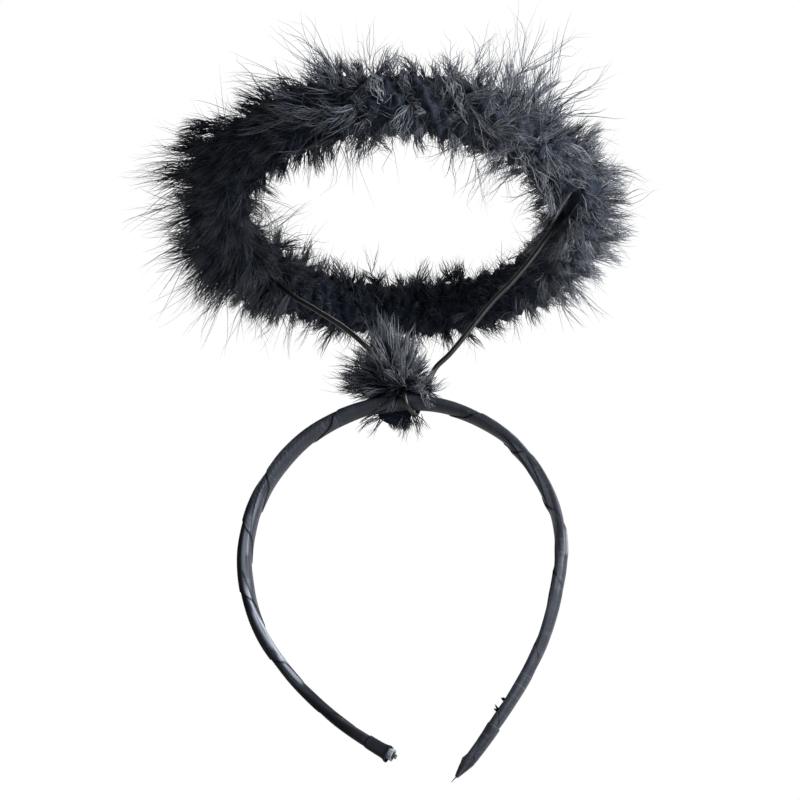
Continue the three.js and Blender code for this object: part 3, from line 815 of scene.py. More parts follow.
    def rows(self, place: np.ndarray, angle: np.ndarray, inwards: np.ndarray, outwards: np.ndarray,
             half_width: np.ndarray, fold: np.ndarray) -> np.ndarray:
        """Points of the tail's rows.

        Args:
            place: millimetres past the core's end.
            angle: radians round the section, from the back edge over the outer face.
            inwards: reach towards the head from the middle line.
            outwards: reach away from the head.
            half_width: half the depth from front to back.
            fold: factor on the section.

        Returns:
            Points, in an array of one more axis.
        """
        squareness = 3.0
        deep = squared(np.cos(angle), squareness) * half_width * fold
        out = squared(np.sin(angle), squareness) * (inwards + outwards) / 2 * fold
        out = out + (outwards - inwards) / 2
        x, z, turned = self.arch.middle(self.arch.right + place + 0 * angle)
        return np.stack([x + out * np.sin(turned), deep + 0 * x, z + out * np.cos(turned)], -1)

    def threads(self) -> Surface:
        """Frayed thread that hangs on from the tail's point, bent a little inwards.

        Returns:
            The thread.
        """
        place, radius = np.array(self.thread).T
        x, z, turned = self.arch.middle(self.arch.right + place)
        inward = 0.3 + 0.12 * (place - place[0])
        paths = np.stack([x - inward * np.sin(turned), 0 * x, z - inward * np.cos(turned)], -1)
        return tube(paths, radius, 8)

    def frayed(self) -> Surface:
        """Threads at the lapped edge: each a spike that bends down the arm as it goes outwards.

        Returns:
            The threads.
        """
        length, degrees, reach, lean = np.array(self.frays).T
        t = np.linspace(0, 1, 5)[None, :]
        along = length[:, None] + (lean * reach)[:, None] * t ** 1.5
        paths = self.arch.skin(along, np.radians(degrees)[:, None], 1.2 + reach[:, None] * t)
        radii = 0.55 * (1 - 0.7 * t ** 2) + 0 * along
        spikes = Barbs(paths, radii, 0 * along, 0 * length)
        surface = spikes.surface(1)
        # painted shade, even all over the threads
        surface.marks = {"painted_shade": np.full(len(surface.points), 0.8)}
        return surface

    def build(self, satin: bpy.types.Material) -> None:
        """Makes the cuff, the tail, its thread and the frayed edge.

        Args:
            satin: finish of the ribbon.
        """
        self.cuff().piece("ribbon_cuff_left_turn", Slot.RIBBON, satin, "ribbon_cuff_left")
        self.tail().piece("ribbon_tail_right_turn", Slot.RIBBON, satin, "ribbon_tail_right")
        self.threads().piece("ribbon_tail_thread", Slot.RIBBON, satin, "ribbon_tail_right")
        self.frayed().piece("ribbon_frayed_threads", Slot.RIBBON, satin, "ribbon_wrap")


def tube(path: np.ndarray, radius: np.ndarray | float, sides: int) -> Surface:
    """Closed round tube along a path.

    Each row's corners lie round its point, across the path. The first corner's direction is carried on
    from row to row, freed each time of its share along the path, so that the tube doesn't twist.

    Args:
        path: points, one row each.
        radius: radius at each point.
        sides: corners round the tube.

    Returns:
        The tube, mapped in millimetres along and round it.
    """
    tangent = unit(np.gradient(path, axis=0))
    carried = [np.cross(tangent[0], [0.3, 0.2, 0.9])]
    for way in tangent:
        carried.append(carried[-1] - np.dot(carried[-1], way) * way)
    side = unit(np.array(carried[1:]))
    up = np.cross(tangent, side)
    angle = np.linspace(0, 2 * math.pi, sides + 1)[None, :, None]
    radius = (np.zeros(len(path)) + radius)[:, None, None]
    rows = path[:, None] + radius * (np.cos(angle) * side[:, None] + np.sin(angle) * up[:, None])
    start, end = np.repeat(path[:1, None], sides + 1, 1), np.repeat(path[-1:, None], sides + 1, 1)
    along = np.concatenate([[0.0], np.cumsum(np.linalg.norm(np.diff(path, axis=0), axis=1))])
    along = np.concatenate([along[:1], along, along[-1:]])[:, None]
    uv = np.stack([along + 0 * angle[..., 0], angle[..., 0] + 0 * along], -1)
    return Surface.through(np.concatenate([start, rows, end])[:, ::-1], uv[:, ::-1])


@dataclass(frozen=True)
class Hoop:
    """Line that the halo's ring wire follows.

    Attributes:
        radius: the hoop's radius.
        height: height of its middle over the crown.
        offset: how far its middle lies to the right.
        pitch: degrees by which its near edge is tilted up.
    """

    radius: float = 76.0
    height: float = 85.4
    offset: float = -1.2
    pitch: float = 9.6

    def frames(self, degrees: np.ndarray) -> tuple[np.ndarray, np.ndarray, np.ndarray, np.ndarray]:
        """Hoop's points and directions at angles from +X towards the back.

        Args:
            degrees: angles round the hoop.

        Returns:
            Points of the hoop, and the ways outwards, along it and up from its plane.
        """
        angle = np.radians(degrees)[..., None]
        tilt = math.radians(self.pitch)
        right = np.array([1.0, 0, 0])
        backward = np.array([0, math.cos(tilt), -math.sin(tilt)])
        upward = np.array([0, math.sin(tilt), math.cos(tilt)])
        outward = np.cos(angle) * right + np.sin(angle) * backward
        along = np.cos(angle) * backward - np.sin(angle) * right
        centre = np.array([self.offset, 0, self.height]) + self.radius * outward
        return centre, outward, along, upward + 0 * along

    def spokes(self, degrees: np.ndarray, roll: np.ndarray) -> tuple[np.ndarray, np.ndarray]:
        """Hoop's points, and the ways out of it at angles round its own section.

        Args:
            degrees: angles round the hoop.
            roll: degrees from the outside over the top.

        Returns:
            Points of the hoop, and the ways out.
        """
        centre, outward, _, upward = self.frames(degrees)
        angle = np.radians(roll)[:, None]
        return centre, np.cos(angle) * outward + np.sin(angle) * upward


@dataclass(frozen=True)
class StemWire:
    """The one wire of the V: left hook, left leg, a turn round the band, right leg and right hook.

    Attributes:
        arch: the band's arch.
        hoop: the halo's hoop.
        radius: the wire's radius.
        tie_start: signed length along the arch where the turn round the band starts.
        tie_lead: how far the turn moves along the arch.
        tie_from: degrees round the band's section where it starts.
        tie_to: degrees where it ends.
        tie_lift: how far the wire's middle lies off the core there.
        hook_turn: degrees that a hook runs round the hoop.
        hook_radius: radius of a hook's middle line.
        left_angle: degrees round the hoop of the left hook.
        right_angle: degrees round it of the right hook.
        left_bends: the left leg's bends from the hoop down: share of the leg, and rise off its straight
            line as a share of its length.
        right_bends: the same for the right leg.
    """

    arch: BandArch
    hoop: Hoop
    radius: float = 1.1
    tie_start: float = 1.6
    tie_lead: float = 6.2
    tie_from: float = 140.0
    tie_to: float = 452.0
    tie_lift: float = 2.65
    hook_turn: float = 200.0
    hook_radius: float = 2.5
    left_angle: float = 155.0
    right_angle: float = -1.0
    left_bends: tuple[tuple[float, float], ...] = (
        (0.1, -0.012), (0.286, -0.008), (0.375, 0.005), (0.633, 0.033), (0.85, 0.022),
    )
    right_bends: tuple[tuple[float, float], ...] = (
        (0.143, -0.004), (0.285, -0.011), (0.419, -0.007), (0.521, 0.005), (0.802, 0.009), (0.88, 0.019),
        (0.947, 0.006),
    )

    def tie(self) -> np.ndarray:
        """Points of the one turn round the wound band.

        Returns:
            The points, one row each.
        """
        share = np.linspace(0, 1, 13)
        angle = np.radians(self.tie_from + (self.tie_to - self.tie_from) * share)
        return self.arch.skin(self.tie_start + share * self.tie_lead, angle, np.full(13, self.tie_lift))

    def hook(self, degrees: float, foot: np.ndarray) -> np.ndarray:
        """Points of a hook over the hoop and round its outside, a part of a circle from the leg's end on.

        Args:
            degrees: angle round the hoop.
            foot: the leg's other end.

        Returns:
            The points, one row each.
        """
        centre, _, along, _ = self.hoop.frames(np.array(degrees))
        legward = across(foot - centre, along)
        beside = np.cross(along, legward)
        angle = np.radians(90 + self.hook_turn * np.linspace(0, 1, 6))[:, None]
        return centre + self.hook_radius * (np.cos(angle) * legward + np.sin(angle) * beside)

    @staticmethod
    def leg(top: np.ndarray, foot: np.ndarray, bends: tuple[tuple[float, float], ...]) -> np.ndarray:
        """Points of a leg's bends: its straight line at each share, plus the rise across it.

        Args:
            top: the leg's end at the hoop.
            foot: its end at the tie.
            bends: share of the leg, and rise as a share of its length.

        Returns:
            The points, one row each.
        """
        straight = foot - top
        rise = across(np.array([0, 0, 1.0]), unit(straight))
        shares = np.array(bends)
        return top + shares[:, :1] * straight + shares[:, 1:] * np.linalg.norm(straight) * rise

    def legs(self) -> tuple[np.ndarray, np.ndarray]:
        """Points of the left and of the right leg.

        Returns:
            The points, from the hook to the foot.
        """
        tie = self.tie()
        left, right = self.hook(self.left_angle, tie[0]), self.hook(self.right_angle, tie[-1])
        return (np.concatenate([left[:1], self.leg(left[0], tie[0], self.left_bends), tie[:1]]),
                np.concatenate([right[:1], self.leg(right[0], tie[-1], self.right_bends), tie[-1:]]))

    def route(self) -> np.ndarray:
        """Smooth route through all points, in steps of 0.9 mm.

        Between two points it is a centripetal Catmull-Rom curve: lines through neighbouring points are
        mixed three times, in proportion to the knots, which are the square roots of the distances.

        Returns:
            The points, one row each.
        """
        tie = self.tie()
        left, right = self.hook(self.left_angle, tie[0]), self.hook(self.right_angle, tie[-1])
        left_leg, right_leg = self.legs()
        knots = np.concatenate([left[:0:-1], left_leg[:-1], tie, right_leg[-2::-1], right[1:]])
        ends = np.concatenate([[2 * knots[0] - knots[1]], knots, [2 * knots[-1] - knots[-2]]])
        gaps = np.sqrt(np.linalg.norm(np.diff(ends, axis=0), axis=1))[:, None, None]
        p0, p1, p2, p3 = (ends[start:len(ends) - 3 + start, None] for start in range(4))
        t1 = gaps[:-2]
        t2 = t1 + gaps[1:-1]
        t3 = t2 + gaps[2:]
        t = t1 + (t2 - t1) * np.linspace(0, 1, 24, endpoint=False)[None, :, None]
        a1 = ((t1 - t) * p0 + t * p1) / t1
        a2 = ((t2 - t) * p1 + (t - t1) * p2) / (t2 - t1)
        a3 = ((t3 - t) * p2 + (t - t2) * p3) / (t3 - t2)
        b1 = ((t2 - t) * a1 + t * a2) / t2
        b2 = ((t3 - t) * a2 + (t - t1) * a3) / (t3 - t1)
        curve = (((t2 - t) * b1 + (t - t1) * b2) / (t2 - t1)).reshape(-1, 3)
        curve = np.concatenate([curve, knots[-1:]])
        reached = np.concatenate([[0.0], np.cumsum(np.linalg.norm(np.diff(curve, axis=0), axis=1))])
        even = np.linspace(0, reached[-1], int(reached[-1] / 0.9))
        return np.stack([np.interp(even, reached, curve[:, axis]) for axis in range(3)], -1)

    def build(self, coated: bpy.types.Material) -> None:
        """Makes the wire.

        Args:
            coated: finish of the wire.
        """
        tube(self.route(), self.radius, 16).piece("stem_wire_coated", Slot.WIRE, coated, "stem_wire")


@dataclass(frozen=True)
class Barbs:
    """Many fine barbs, each a row of points that ends in a tip.

    Attributes:
        paths: points as (barbs, rows, 3).
        radii: half the thickness at each point, as (barbs, rows).
        tone: how pale each barb is at each point, from 0 to 1.
        sector: degrees round the hoop where each barb is rooted.
    """

    paths: np.ndarray
    radii: np.ndarray
    tone: np.ndarray
    sector: np.ndarray

    def chosen(self, which: np.ndarray) -> "Barbs":
        """The barbs that a mask picks."""
        return Barbs(self.paths[which], self.radii[which], self.tone[which], self.sector[which])

    def surface(self, seed: int) -> Surface:
        """Three-sided closed spikes along the paths.

        Each point but the last carries three corners a third of a turn apart, across the path, at the
        barb's radius. The first three are closed by a triangle, and the last point is the tip.

        Args:
            seed: of the random turn of each spike about itself.

        Returns:
            The spikes.
        """
        count, rows = self.paths.shape[:2]
        tangent = unit(np.gradient(self.paths, axis=1))
        chord = unit(self.paths[:, -1] - self.paths[:, 0])
        side = across(sideways(np.random.default_rng(seed), chord)[:, None, :], tangent)
        up = np.cross(tangent, side)
        turn = 2 * math.pi / 3 * np.arange(3)
        spoke = np.cos(turn)[:, None] * side[:, :-1, None, :] + np.sin(turn)[:, None] * up[:, :-1, None, :]
        rings = self.paths[:, :-1, None, :] + self.radii[:, :-1, None, None] * spoke
        points = np.concatenate([rings.reshape(count, -1, 3), self.paths[:, -1:]], 1)
        own = points.shape[1]
        ring = 3 * np.arange(rows - 2)[:, None]
        here, after = ring + np.arange(3), ring + (np.arange(3) + 1) % 3
        walls = np.concatenate([
            np.stack([here, after, after + 3], -1).reshape(-1, 3),
            np.stack([here, after + 3, here + 3], -1).reshape(-1, 3),
        ])
        top = 3 * (rows - 2)
        tip = np.stack([top + np.arange(3), top + (np.arange(3) + 1) % 3, np.full(3, own - 1)], -1)
        one = np.concatenate([[[0, 2, 1]], walls, tip])
        faces = (one[None] + own * np.arange(count)[:, None, None]).reshape(-1, 3)
        step = np.linspace(0, 1, rows)
        along = np.concatenate([np.repeat(step[:-1], 3), [1.0]])
        tone = np.concatenate([np.repeat(self.tone[:, :-1], 3, axis=1), self.tone[:, -1:]], 1)
        marks = {"along": np.tile(along, count), "tone": tone.ravel()}
        return Surface(points.reshape(-1, 3), faces, marks=marks)


def together(groups: list[Barbs]) -> Barbs:
    """Barbs of several groups that have the same number of rows."""
    return Barbs(*[np.concatenate([getattr(group, part) for group in groups])
                   for part in ("paths", "radii", "tone", "sector")])


@dataclass(frozen=True)
class Plume:
    """Make-up of one kind of marabou feather: a short soft quill with long barbs on all sides.

    Attributes:
        barbs: number of barbs.
        quill: the quill's length, as a share of the feather's reach.
        bow: how far the quill bends over, as a share of its length.
        opening: degrees between barb and quill where the barb starts, at the quill's foot and at its tip.
        closing: degrees between the barb's own tip and the quill.
        lengths: shortest and longest barb, as shares of the reach.
        fluff: how far the barbs stray out of the feather's flat, in radians.
        clumps: how many places along the quill the barbs gather from.
        gather: how far the tips of a clump draw together, from 0 to 1.
        sag: how far the barbs' tips drop under their own weight.
        thickness: radius of a barb at its root.
        root_tone: share of its paleness that a barb has at its root.
        rows: points along a barb.
    """

    barbs: int = 56
    quill: float = 0.5
    bow: float = 0.35
    opening: tuple[float, float] = (58.0, 24.0)
    closing: float = 14.0
    lengths: tuple[float, float] = (0.42, 0.8)
    fluff: float = 0.8
    clumps: int = 4
    gather: float = 0.55
    sag: float = 0.1
    thickness: float = 0.2
    root_tone: float = 1.0
    rows: int = 6

    def grow(self, rng: np.random.Generator, root: np.ndarray, out: np.ndarray, lean: np.ndarray,
             reach: np.ndarray, curl: np.ndarray, paleness_and_painted_light: np.ndarray, sector: np.ndarray) -> Barbs:
        """Grows one feather at each root.

        A quill's point at share s is its root plus s times its way out plus s squared times its bow.
        A barb turns evenly from its opening direction to its closing one: its point at share t is its
        start plus its length times (t minus half t squared) of the first and half t squared of the
        second, plus a wave across it, and its tip is drawn towards the mean tip of its clump.

        Args:
            rng: random numbers.
            root: where each feather starts.
            out: the way that each feather points.
            lean: the way that its quill bends over, across `out`.
            reach: distance from its root to its farthest tip.
            curl: how far its barbs wave to the side, as a share of their length.
            paleness_and_painted_light: how pale each feather is, from 0 to 1, painted light included.
            sector: degrees round the hoop of each feather.

        Returns:
            All barbs and quills.
        """
        feathers, barbs = len(root), self.barbs
        shape = (feathers, barbs)
        place = 0.06 + 0.94 * rng.uniform(0, 1, shape) ** 0.8
        quill = (self.quill * reach)[:, None, None]
        ahead, over = out[:, None, :], lean[:, None, :]
        s = place[..., None]
        start = root[:, None, :] + quill * (s * ahead + self.bow * s ** 2 * over)
        tangent = unit(ahead + 2 * self.bow * s * over)
        normal = unit(np.cross(tangent, over + 1e-3))
        vane = np.cross(normal, tangent)
        flip = rng.choice([0.0, math.pi], shape)
        roll = (flip + rng.normal(0, self.fluff, shape))[..., None]
        side = np.cos(roll) * vane + np.sin(roll) * normal
        low, high = self.opening
        opening = np.radians(low + (high - low) * place + rng.normal(0, 11, shape))[..., None]
        closing = np.radians(self.closing + rng.normal(0, 12, shape))[..., None]
        first = np.cos(opening) * tangent + np.sin(opening) * side
        second = np.cos(closing) * tangent + np.sin(closing) * side
        second = second - np.array([0, 0, self.sag])
        shortest, longest = self.lengths
        length = reach[:, None] * (shortest + (longest - shortest) * rng.beta(2.2, 2.0, shape))
        length = length * (1.12 - 0.3 * place)
        t = np.linspace(0, 1, self.rows)[None, None, :, None]
        far = length[..., None, None]
        paths = start[:, :, None, :] + far * (
            (t - t ** 2 / 2) * first[:, :, None, :] + t ** 2 / 2 * second[:, :, None, :])
        tips = paths[:, :, -1]
        clump = np.minimum((place * self.clumps).astype(int), self.clumps - 1)
        clump = 2 * clump + (np.cos(roll[..., 0]) > 0)
        member = (clump[..., None] == np.arange(2 * self.clumps)).astype(float)
        count = np.maximum(member.sum(1), 1)[..., None]
        middle = np.einsum("fbc,fbk->fck", member, tips) / count
        target = np.take_along_axis(middle, clump[..., None].repeat(3, -1), 1)
        paths = paths + self.gather * t ** 1.6 * (target - tips)[:, :, None, :]
        wave = unit(np.cross(first, rng.normal(size=(*shape, 3))))[:, :, None, :]
        phase = rng.uniform(0, 1, shape)[..., None, None]
        beat = rng.uniform(0.5, 1.3, shape)[..., None, None]
        sway = curl[:, None, None, None] * far * t * np.sin(2 * math.pi * (beat * t + phase))
        paths = paths + sway * wave
        thick = self.thickness * rng.uniform(0.6, 1.25, shape)[..., None]
        radii = thick * (1 - 0.85 * np.linspace(0, 1, self.rows) ** 1.3)
        spread = (0.05 + 0.35 * paleness_and_painted_light)[:, None]
        feather_tone = paleness_and_painted_light[:, None] + spread * rng.normal(0, 0.7, (feathers, 1))
        tone = np.clip(feather_tone + spread * rng.normal(-0.2, 1, shape), 0, 1)
        ramp = self.root_tone + (1 - self.root_tone) * np.linspace(0, 1, self.rows) ** 1.5
        grown = Barbs(paths.reshape(-1, self.rows, 3), radii.reshape(-1, self.rows),
                      tone.reshape(-1, 1) * ramp, np.repeat(sector, barbs))
        u = np.linspace(0, 1, self.rows)[None, :, None]
        stems = root[:, None, :] + quill * (u * ahead + self.bow * u ** 2 * over)
        stem_radii = 0.22 * (1 - 0.8 * u[..., 0]) + 0 * stems[..., 0]
        quills = Barbs(stems, stem_radii, 0.6 * ramp + np.zeros((feathers, 1)), sector)
        return together([grown, quills])


@dataclass(frozen=True)
class Sector:
    """How the down lies at one place round the hoop.

    Attributes:
        degrees: the place, from +X towards the back.
        reach: millimetres from the hoop to the tips.
        right: how far the down is combed to the right, as a share of its way out of the boa.
        up: how far it is combed upwards.
        tangle: from 0, combed smooth, to 1, tangled and curly.
        paleness_and_painted_light: how pale the down is there, 0 to 1; painted light, paler where lit.
        flyaway: millimetres by which single long barbs reach farther than the rest.
    """

    degrees: float
    reach: float
    right: float
    up: float
    tangle: float
    paleness_and_painted_light: float
    flyaway: float


@dataclass(frozen=True)
class HaloMarabou:
    """Marabou ring round the halo's hoop.

    Attributes:
        hoop: the hoop that the boa runs round.
        wire: the wire whose legs come out of it.
        sectors: how the down lies round the hoop.
        section: factor on that reach round the down's own section: degrees from the outside over the
            top, and share.
        bunches: barbs that stand out of the down to a point: degrees round the hoop, millimetres above
            the hoop, how far they point to the right and up, reach, and paleness, which is painted light.
        parting: half the width of the parting round a leg of the wire.
        parting_way: the way that a leg lies open to.
        covered: how far down the left and the right leg the down closes over it.
        locks: how many feathers the boa has.
        wisps: how many long thin ones are among them.
        under_barbs: how many short barbs lie under them.
        heart: radius of the matted heart.
        room: lowest and highest corner that the down may reach.
        seed: of the random numbers.
    """

    hoop: Hoop
    wire: StemWire
    sectors: tuple[Sector, ...] = (
        Sector(0, 30, 0.3, 0.0, 0.6, 0.6, 0),
        Sector(18, 26, 0.3, -0.1, 0.5, 0.75, 0),
        Sector(35, 27, 0.6, -0.3, 0.5, 0.6, 2),
        Sector(60, 23, 0.2, -0.1, 0.4, 0.15, 0),
        Sector(80, 27, 0.1, 0.25, 0.4, 0.05, 0),
        Sector(105, 28, -0.2, 0.4, 0.4, 0.05, 0),
        Sector(130, 28, -0.3, 0.0, 0.4, 0.2, 2),
        Sector(150, 35, -0.4, -0.8, 0.25, 0.2, 4),
        Sector(168, 45, -0.8, -1.0, 0.15, 0.08, 4),
        Sector(185, 32, -0.7, -0.3, 0.15, 0.0, 1),
        Sector(200, 31, -0.9, -0.1, 0.1, 0.0, 3),
        Sector(212, 42, -1.2, 0.15, 0.1, 0.0, 6),
        Sector(222, 28, -0.8, -0.5, 0.15, 0.0, 0),
        Sector(236, 23, -0.5, -0.6, 0.2, 0.0, 2),
        Sector(246, 28, -0.7, 0.1, 0.3, 0.05, 6),
        Sector(262, 38, -0.4, 0.4, 0.6, 0.3, 2),
        Sector(271, 31, -0.3, 0.2, 0.8, 0.5, 0),
        Sector(279, 24, 0.0, -0.2, 0.8, 0.35, 0),
        Sector(290, 27, 0.0, 0.2, 1.0, 0.55, 1),
        Sector(303, 31, 0.1, 0.4, 1.0, 0.55, 7),
        Sector(314, 32, 0.0, 0.7, 0.6, 0.7, 11),
        Sector(326, 27, 0.1, -0.2, 0.6, 0.6, 0),
        Sector(338, 27, 0.3, -0.2, 0.6, 0.55, 0),
        Sector(348, 32, 0.6, 0.3, 0.6, 0.6, 0),
    )
    section: tuple[tuple[float, float], ...] = ((0, 1.0), (90, 0.95), (180, 0.78), (270, 0.8))
    bunches: tuple[tuple[float, float, float, float, float, float], ...] = (
        (175, 0, -1.0, -0.2, 33, 0.0), (160, 0, -0.9, -0.42, 31, 0.05), (148, 0, -0.65, -0.78, 26, 0.15),
        (140, 0, -0.4, -0.92, 22, 0.2), (222, 12, -1.0, 0.04, 31, 0.0), (215, 8, -1.0, 0.14, 27, 0.0),
        (262, 3, -0.35, 1.0, 24, 0.3), (268, 3, -0.15, 1.0, 22, 0.45), (318, 10, 0.55, 0.9, 21, 0.65),
        (312, 10, 0.3, 1.0, 19, 0.65), (345, 0, 0.85, 0.55, 20, 0.55), (355, 0, 1.0, 0.15, 24, 0.6),
        (335, 0, 0.86, 0.5, 25, 0.6), (15, 0, 0.9, -0.4, 26, 0.6), (28, 0, 0.65, -0.75, 20, 0.5),
        (248, 0, 0.33, -0.94, 22, 0.05), (10, 0, -1.0, -0.1, 20, 0.55), (348, 0, -1.0, 0.0, 19, 0.6),
        (82, 0, 0.05, -1.0, 17, 0.05),
    )
    locks: int = 1000
    wisps: int = 230
    under_barbs: int = 8000
    heart: float = 10.5
    parting: float = 1.7
    parting_way: tuple[float, float, float] = (0.13, -0.94, -0.33)
    covered: tuple[float, float] = (27.0, 1.0)
    room: tuple[tuple[float, float, float], ...] = ((-117.0, -113.0, 20.0), (112.0, 115.0, 140.0))
    seed: int = 3

    def reach(self, degrees: np.ndarray, roll: np.ndarray) -> np.ndarray:
        """How far the down reaches at places round the hoop and round its own section."""
        rolls, factors = zip(*self.section)
        return self.lie(degrees, "reach") * np.interp(roll % 360, rolls, factors, period=360)

    def lie(self, degrees: np.ndarray, column: str) -> np.ndarray:
        """One column of the sectors at places between them.

        Args:
            degrees: places round the hoop.
            column: the column's name.

        Returns:
            Its values there.
        """
        places = [sector.degrees for sector in self.sectors]
        values = [getattr(sector, column) for sector in self.sectors]
        return np.interp(degrees % 360, places, values, period=360)

    def feather_layer(self, rng: np.random.Generator, kind: Plume, feathers: int,
                      reaches: tuple[float, float], flyaway: float, gathered: float = 0.0) -> Barbs:
        """Grows one layer of feathers, spread round the hoop and round its section.

        Args:
            rng: random numbers.
            kind: make-up of the feathers.
            feathers: how many there are.
            reaches: shortest and longest feather, as shares of the sector's reach.
            flyaway: share of the sector's flyaway reach that they get as well.
            gathered: from 0, spread evenly, to 1, gathered in proportion to the sectors' flyaway reach.

        Returns:
            The layer's barbs.
        """
        golden_angle = 137.5
        number = np.arange(feathers)
        round_hoop = np.linspace(0, 360, 721)
        flyaways = self.lie(round_hoop, "flyaway")
        crowd = np.cumsum(1 - gathered + gathered * flyaways / flyaways.mean())
        degrees = np.interp((number + rng.uniform(0, 1, feathers)) / feathers * crowd[-1], crowd, round_hoop)
        roll = (number * golden_angle + rng.normal(0, 14, feathers)) % 360
        centre, spoke = self.hoop.spokes(degrees, roll)
        tangle = self.lie(degrees, "tangle")[:, None]
        comb = np.stack([self.lie(degrees, "right"), np.zeros(feathers), self.lie(degrees, "up")], -1)
        lying = comb - np.sum(comb * spoke, -1, keepdims=True) * spoke
        loose = rng.normal(0, 1, (feathers, 3)) * (0.26 + 0.34 * tangle)
        out = unit(spoke + lying + loose)
        bend = lying + rng.normal(0, 1, (feathers, 3)) * (0.2 + 0.5 * tangle)
        lean = across(bend, out)
        outside = 0.5 + 0.5 * np.cos(np.radians(roll - 60))
        whole = self.reach(degrees, roll) + flyaway * outside * self.lie(degrees, "flyaway")
        reach = whole * rng.uniform(*reaches, feathers)
        root = centre + rng.uniform(0.3, 1.1, (feathers, 1)) * self.heart * spoke
        curl = 0.03 + 0.14 * tangle[:, 0]
        # painted light: the sectors' paleness, paler where the key lamp lights the ring
        return kind.grow(rng, root, out, lean, reach, curl, self.lie(degrees, "paleness_and_painted_light"), degrees)

    def barbs(self) -> tuple[Barbs, Barbs]:
        """Grows the ring's feathers, its long wisps and the short down under them.

        Returns:
            The long barbs and the short ones.
        """
        rng = np.random.default_rng(self.seed)
        lock = Plume(barbs=18, quill=0.15, opening=(30.0, 14.0), closing=5.0, lengths=(0.35, 1.0), fluff=1.5,
                     clumps=1, gather=0.5, thickness=0.27)
        wisp = Plume(barbs=6, quill=0.4, opening=(26.0, 10.0), closing=8.0, lengths=(0.6, 0.95), gather=0.1,
                     thickness=0.16, bow=0.5)
        grown = together([
            self.feather_layer(rng, lock, self.locks, (0.45, 0.92), 0.0),
            self.feather_layer(rng, wisp, self.wisps, (0.8, 1.1), 1.0, 0.6),
            self.standing_out(),
        ])
        return self.trimmed(self.parted(grown)), self.trimmed(self.parted(self.under_down(rng)))

    def standing_out(self) -> Barbs:
        """Bunches of long barbs that stand out of the down, three feathers to a bunch.

        Returns:
            Their barbs.
        """
        rng = np.random.default_rng(self.seed + 4)
        degrees, rise, right, up, reach, paleness_and_painted_light = np.repeat(np.array(self.bunches), 3, axis=0).T
        out = unit(np.stack([right, 0 * right, up], -1) + rng.normal(0, 0.13, (len(right), 3)))
        root = self.hoop.frames(degrees)[0] + rise[:, None] * np.array([0, 0, 1.0]) + 5.0 * out
        lean = unit(np.cross(out, rng.normal(size=out.shape)))
        bunch = Plume(barbs=18, quill=0.35, bow=0.3, opening=(20.0, 8.0), closing=3.0, lengths=(0.45, 0.78),
                      fluff=1.5, clumps=1, gather=0.75, thickness=0.24)
        reach = reach * rng.uniform(0.85, 1.05, len(reach))
        # painted light: each bunch's paleness from the table
        return bunch.grow(rng, root, out, lean, reach, np.full(len(reach), 0.06), paleness_and_painted_light, degrees)

    def leg_axes(self, leg: np.ndarray) -> tuple[np.ndarray, np.ndarray, np.ndarray]:
        """The ways down a leg of the wire, out of its parting, and across both.

        Args:
            leg: the leg's points.

        Returns:
            The three ways.
        """
        way = unit(leg[-1] - leg[0])
        open_way = across(np.array(self.parting_way), way)
        return way, open_way, np.cross(way, open_way)

    def parted(self, barbs: Barbs) -> Barbs:
        """Parts the down where a leg of the wire runs out of it, so that the leg lies open to below.

        The parting is a plane through the leg and the way down and forwards. A point at distance d from
        it, on the open side of the leg, moves out to the root of d squared plus the parting's squared,
        less and less from the leg's own depth to a few millimetres above it and beyond the leg's foot.
        Barbs that would cross the parting are left out.

        Args:
            barbs: the down.

        Returns:
            The parted down.
        """
        paths = barbs.paths
        clear = np.ones(len(paths), dtype=bool)
        for leg, covered in zip(self.wire.legs(), self.covered):
            axes = self.leg_axes(leg)
            down_leg, depth, aside = ((paths - leg[0]) @ axis for axis in axes)
            bends, _, rises = ((leg - leg[0]) @ axis for axis in axes)
            aside = aside - np.interp(down_leg, bends, rises)
            inside = smooth(down_leg, covered, covered + 3) * (1 - smooth(down_leg, 46.0, 56.0))
            inside = inside * smooth(depth, -3.0, 0.5)
            pushed = np.where(aside < 0, -1.0, 1.0) * np.sqrt(aside ** 2 + (self.parting * inside) ** 2)
            paths = paths + (pushed - aside)[..., None] * axes[2]
            crossing = (aside[:, 1:] * aside[:, :-1] < 0)
            crossing = crossing & (np.minimum(inside[:, 1:], inside[:, :-1]) > 0.3)
            clear = clear & ~crossing.any(1)
        return Barbs(paths, barbs.radii, barbs.tone, barbs.sector).chosen(clear)

    def trimmed(self, barbs: Barbs) -> Barbs:
        """Shortens the barbs that would reach past the room the halo takes up.

        A barb is scaled about its root by the smallest share, over all six sides, of the room that it
        has from its root over the way that its farthest point goes.

        Args:
            barbs: the down.

        Returns:
            The shortened down.
        """
        root = barbs.paths[:, 0]
        share = np.ones(len(root))
        for side, room in ((-1, self.room[0]), (1, self.room[1])):
            has = np.maximum(side * (np.array(room) - root), 0.1)
            goes = np.maximum((side * (barbs.paths - root[:, None])).max(1), 1e-6)
            share = np.minimum(share, (has / goes).min(1))
        paths = root[:, None] + share[:, None, None] * (barbs.paths - root[:, None])
        return Barbs(paths, barbs.radii, barbs.tone, barbs.sector)

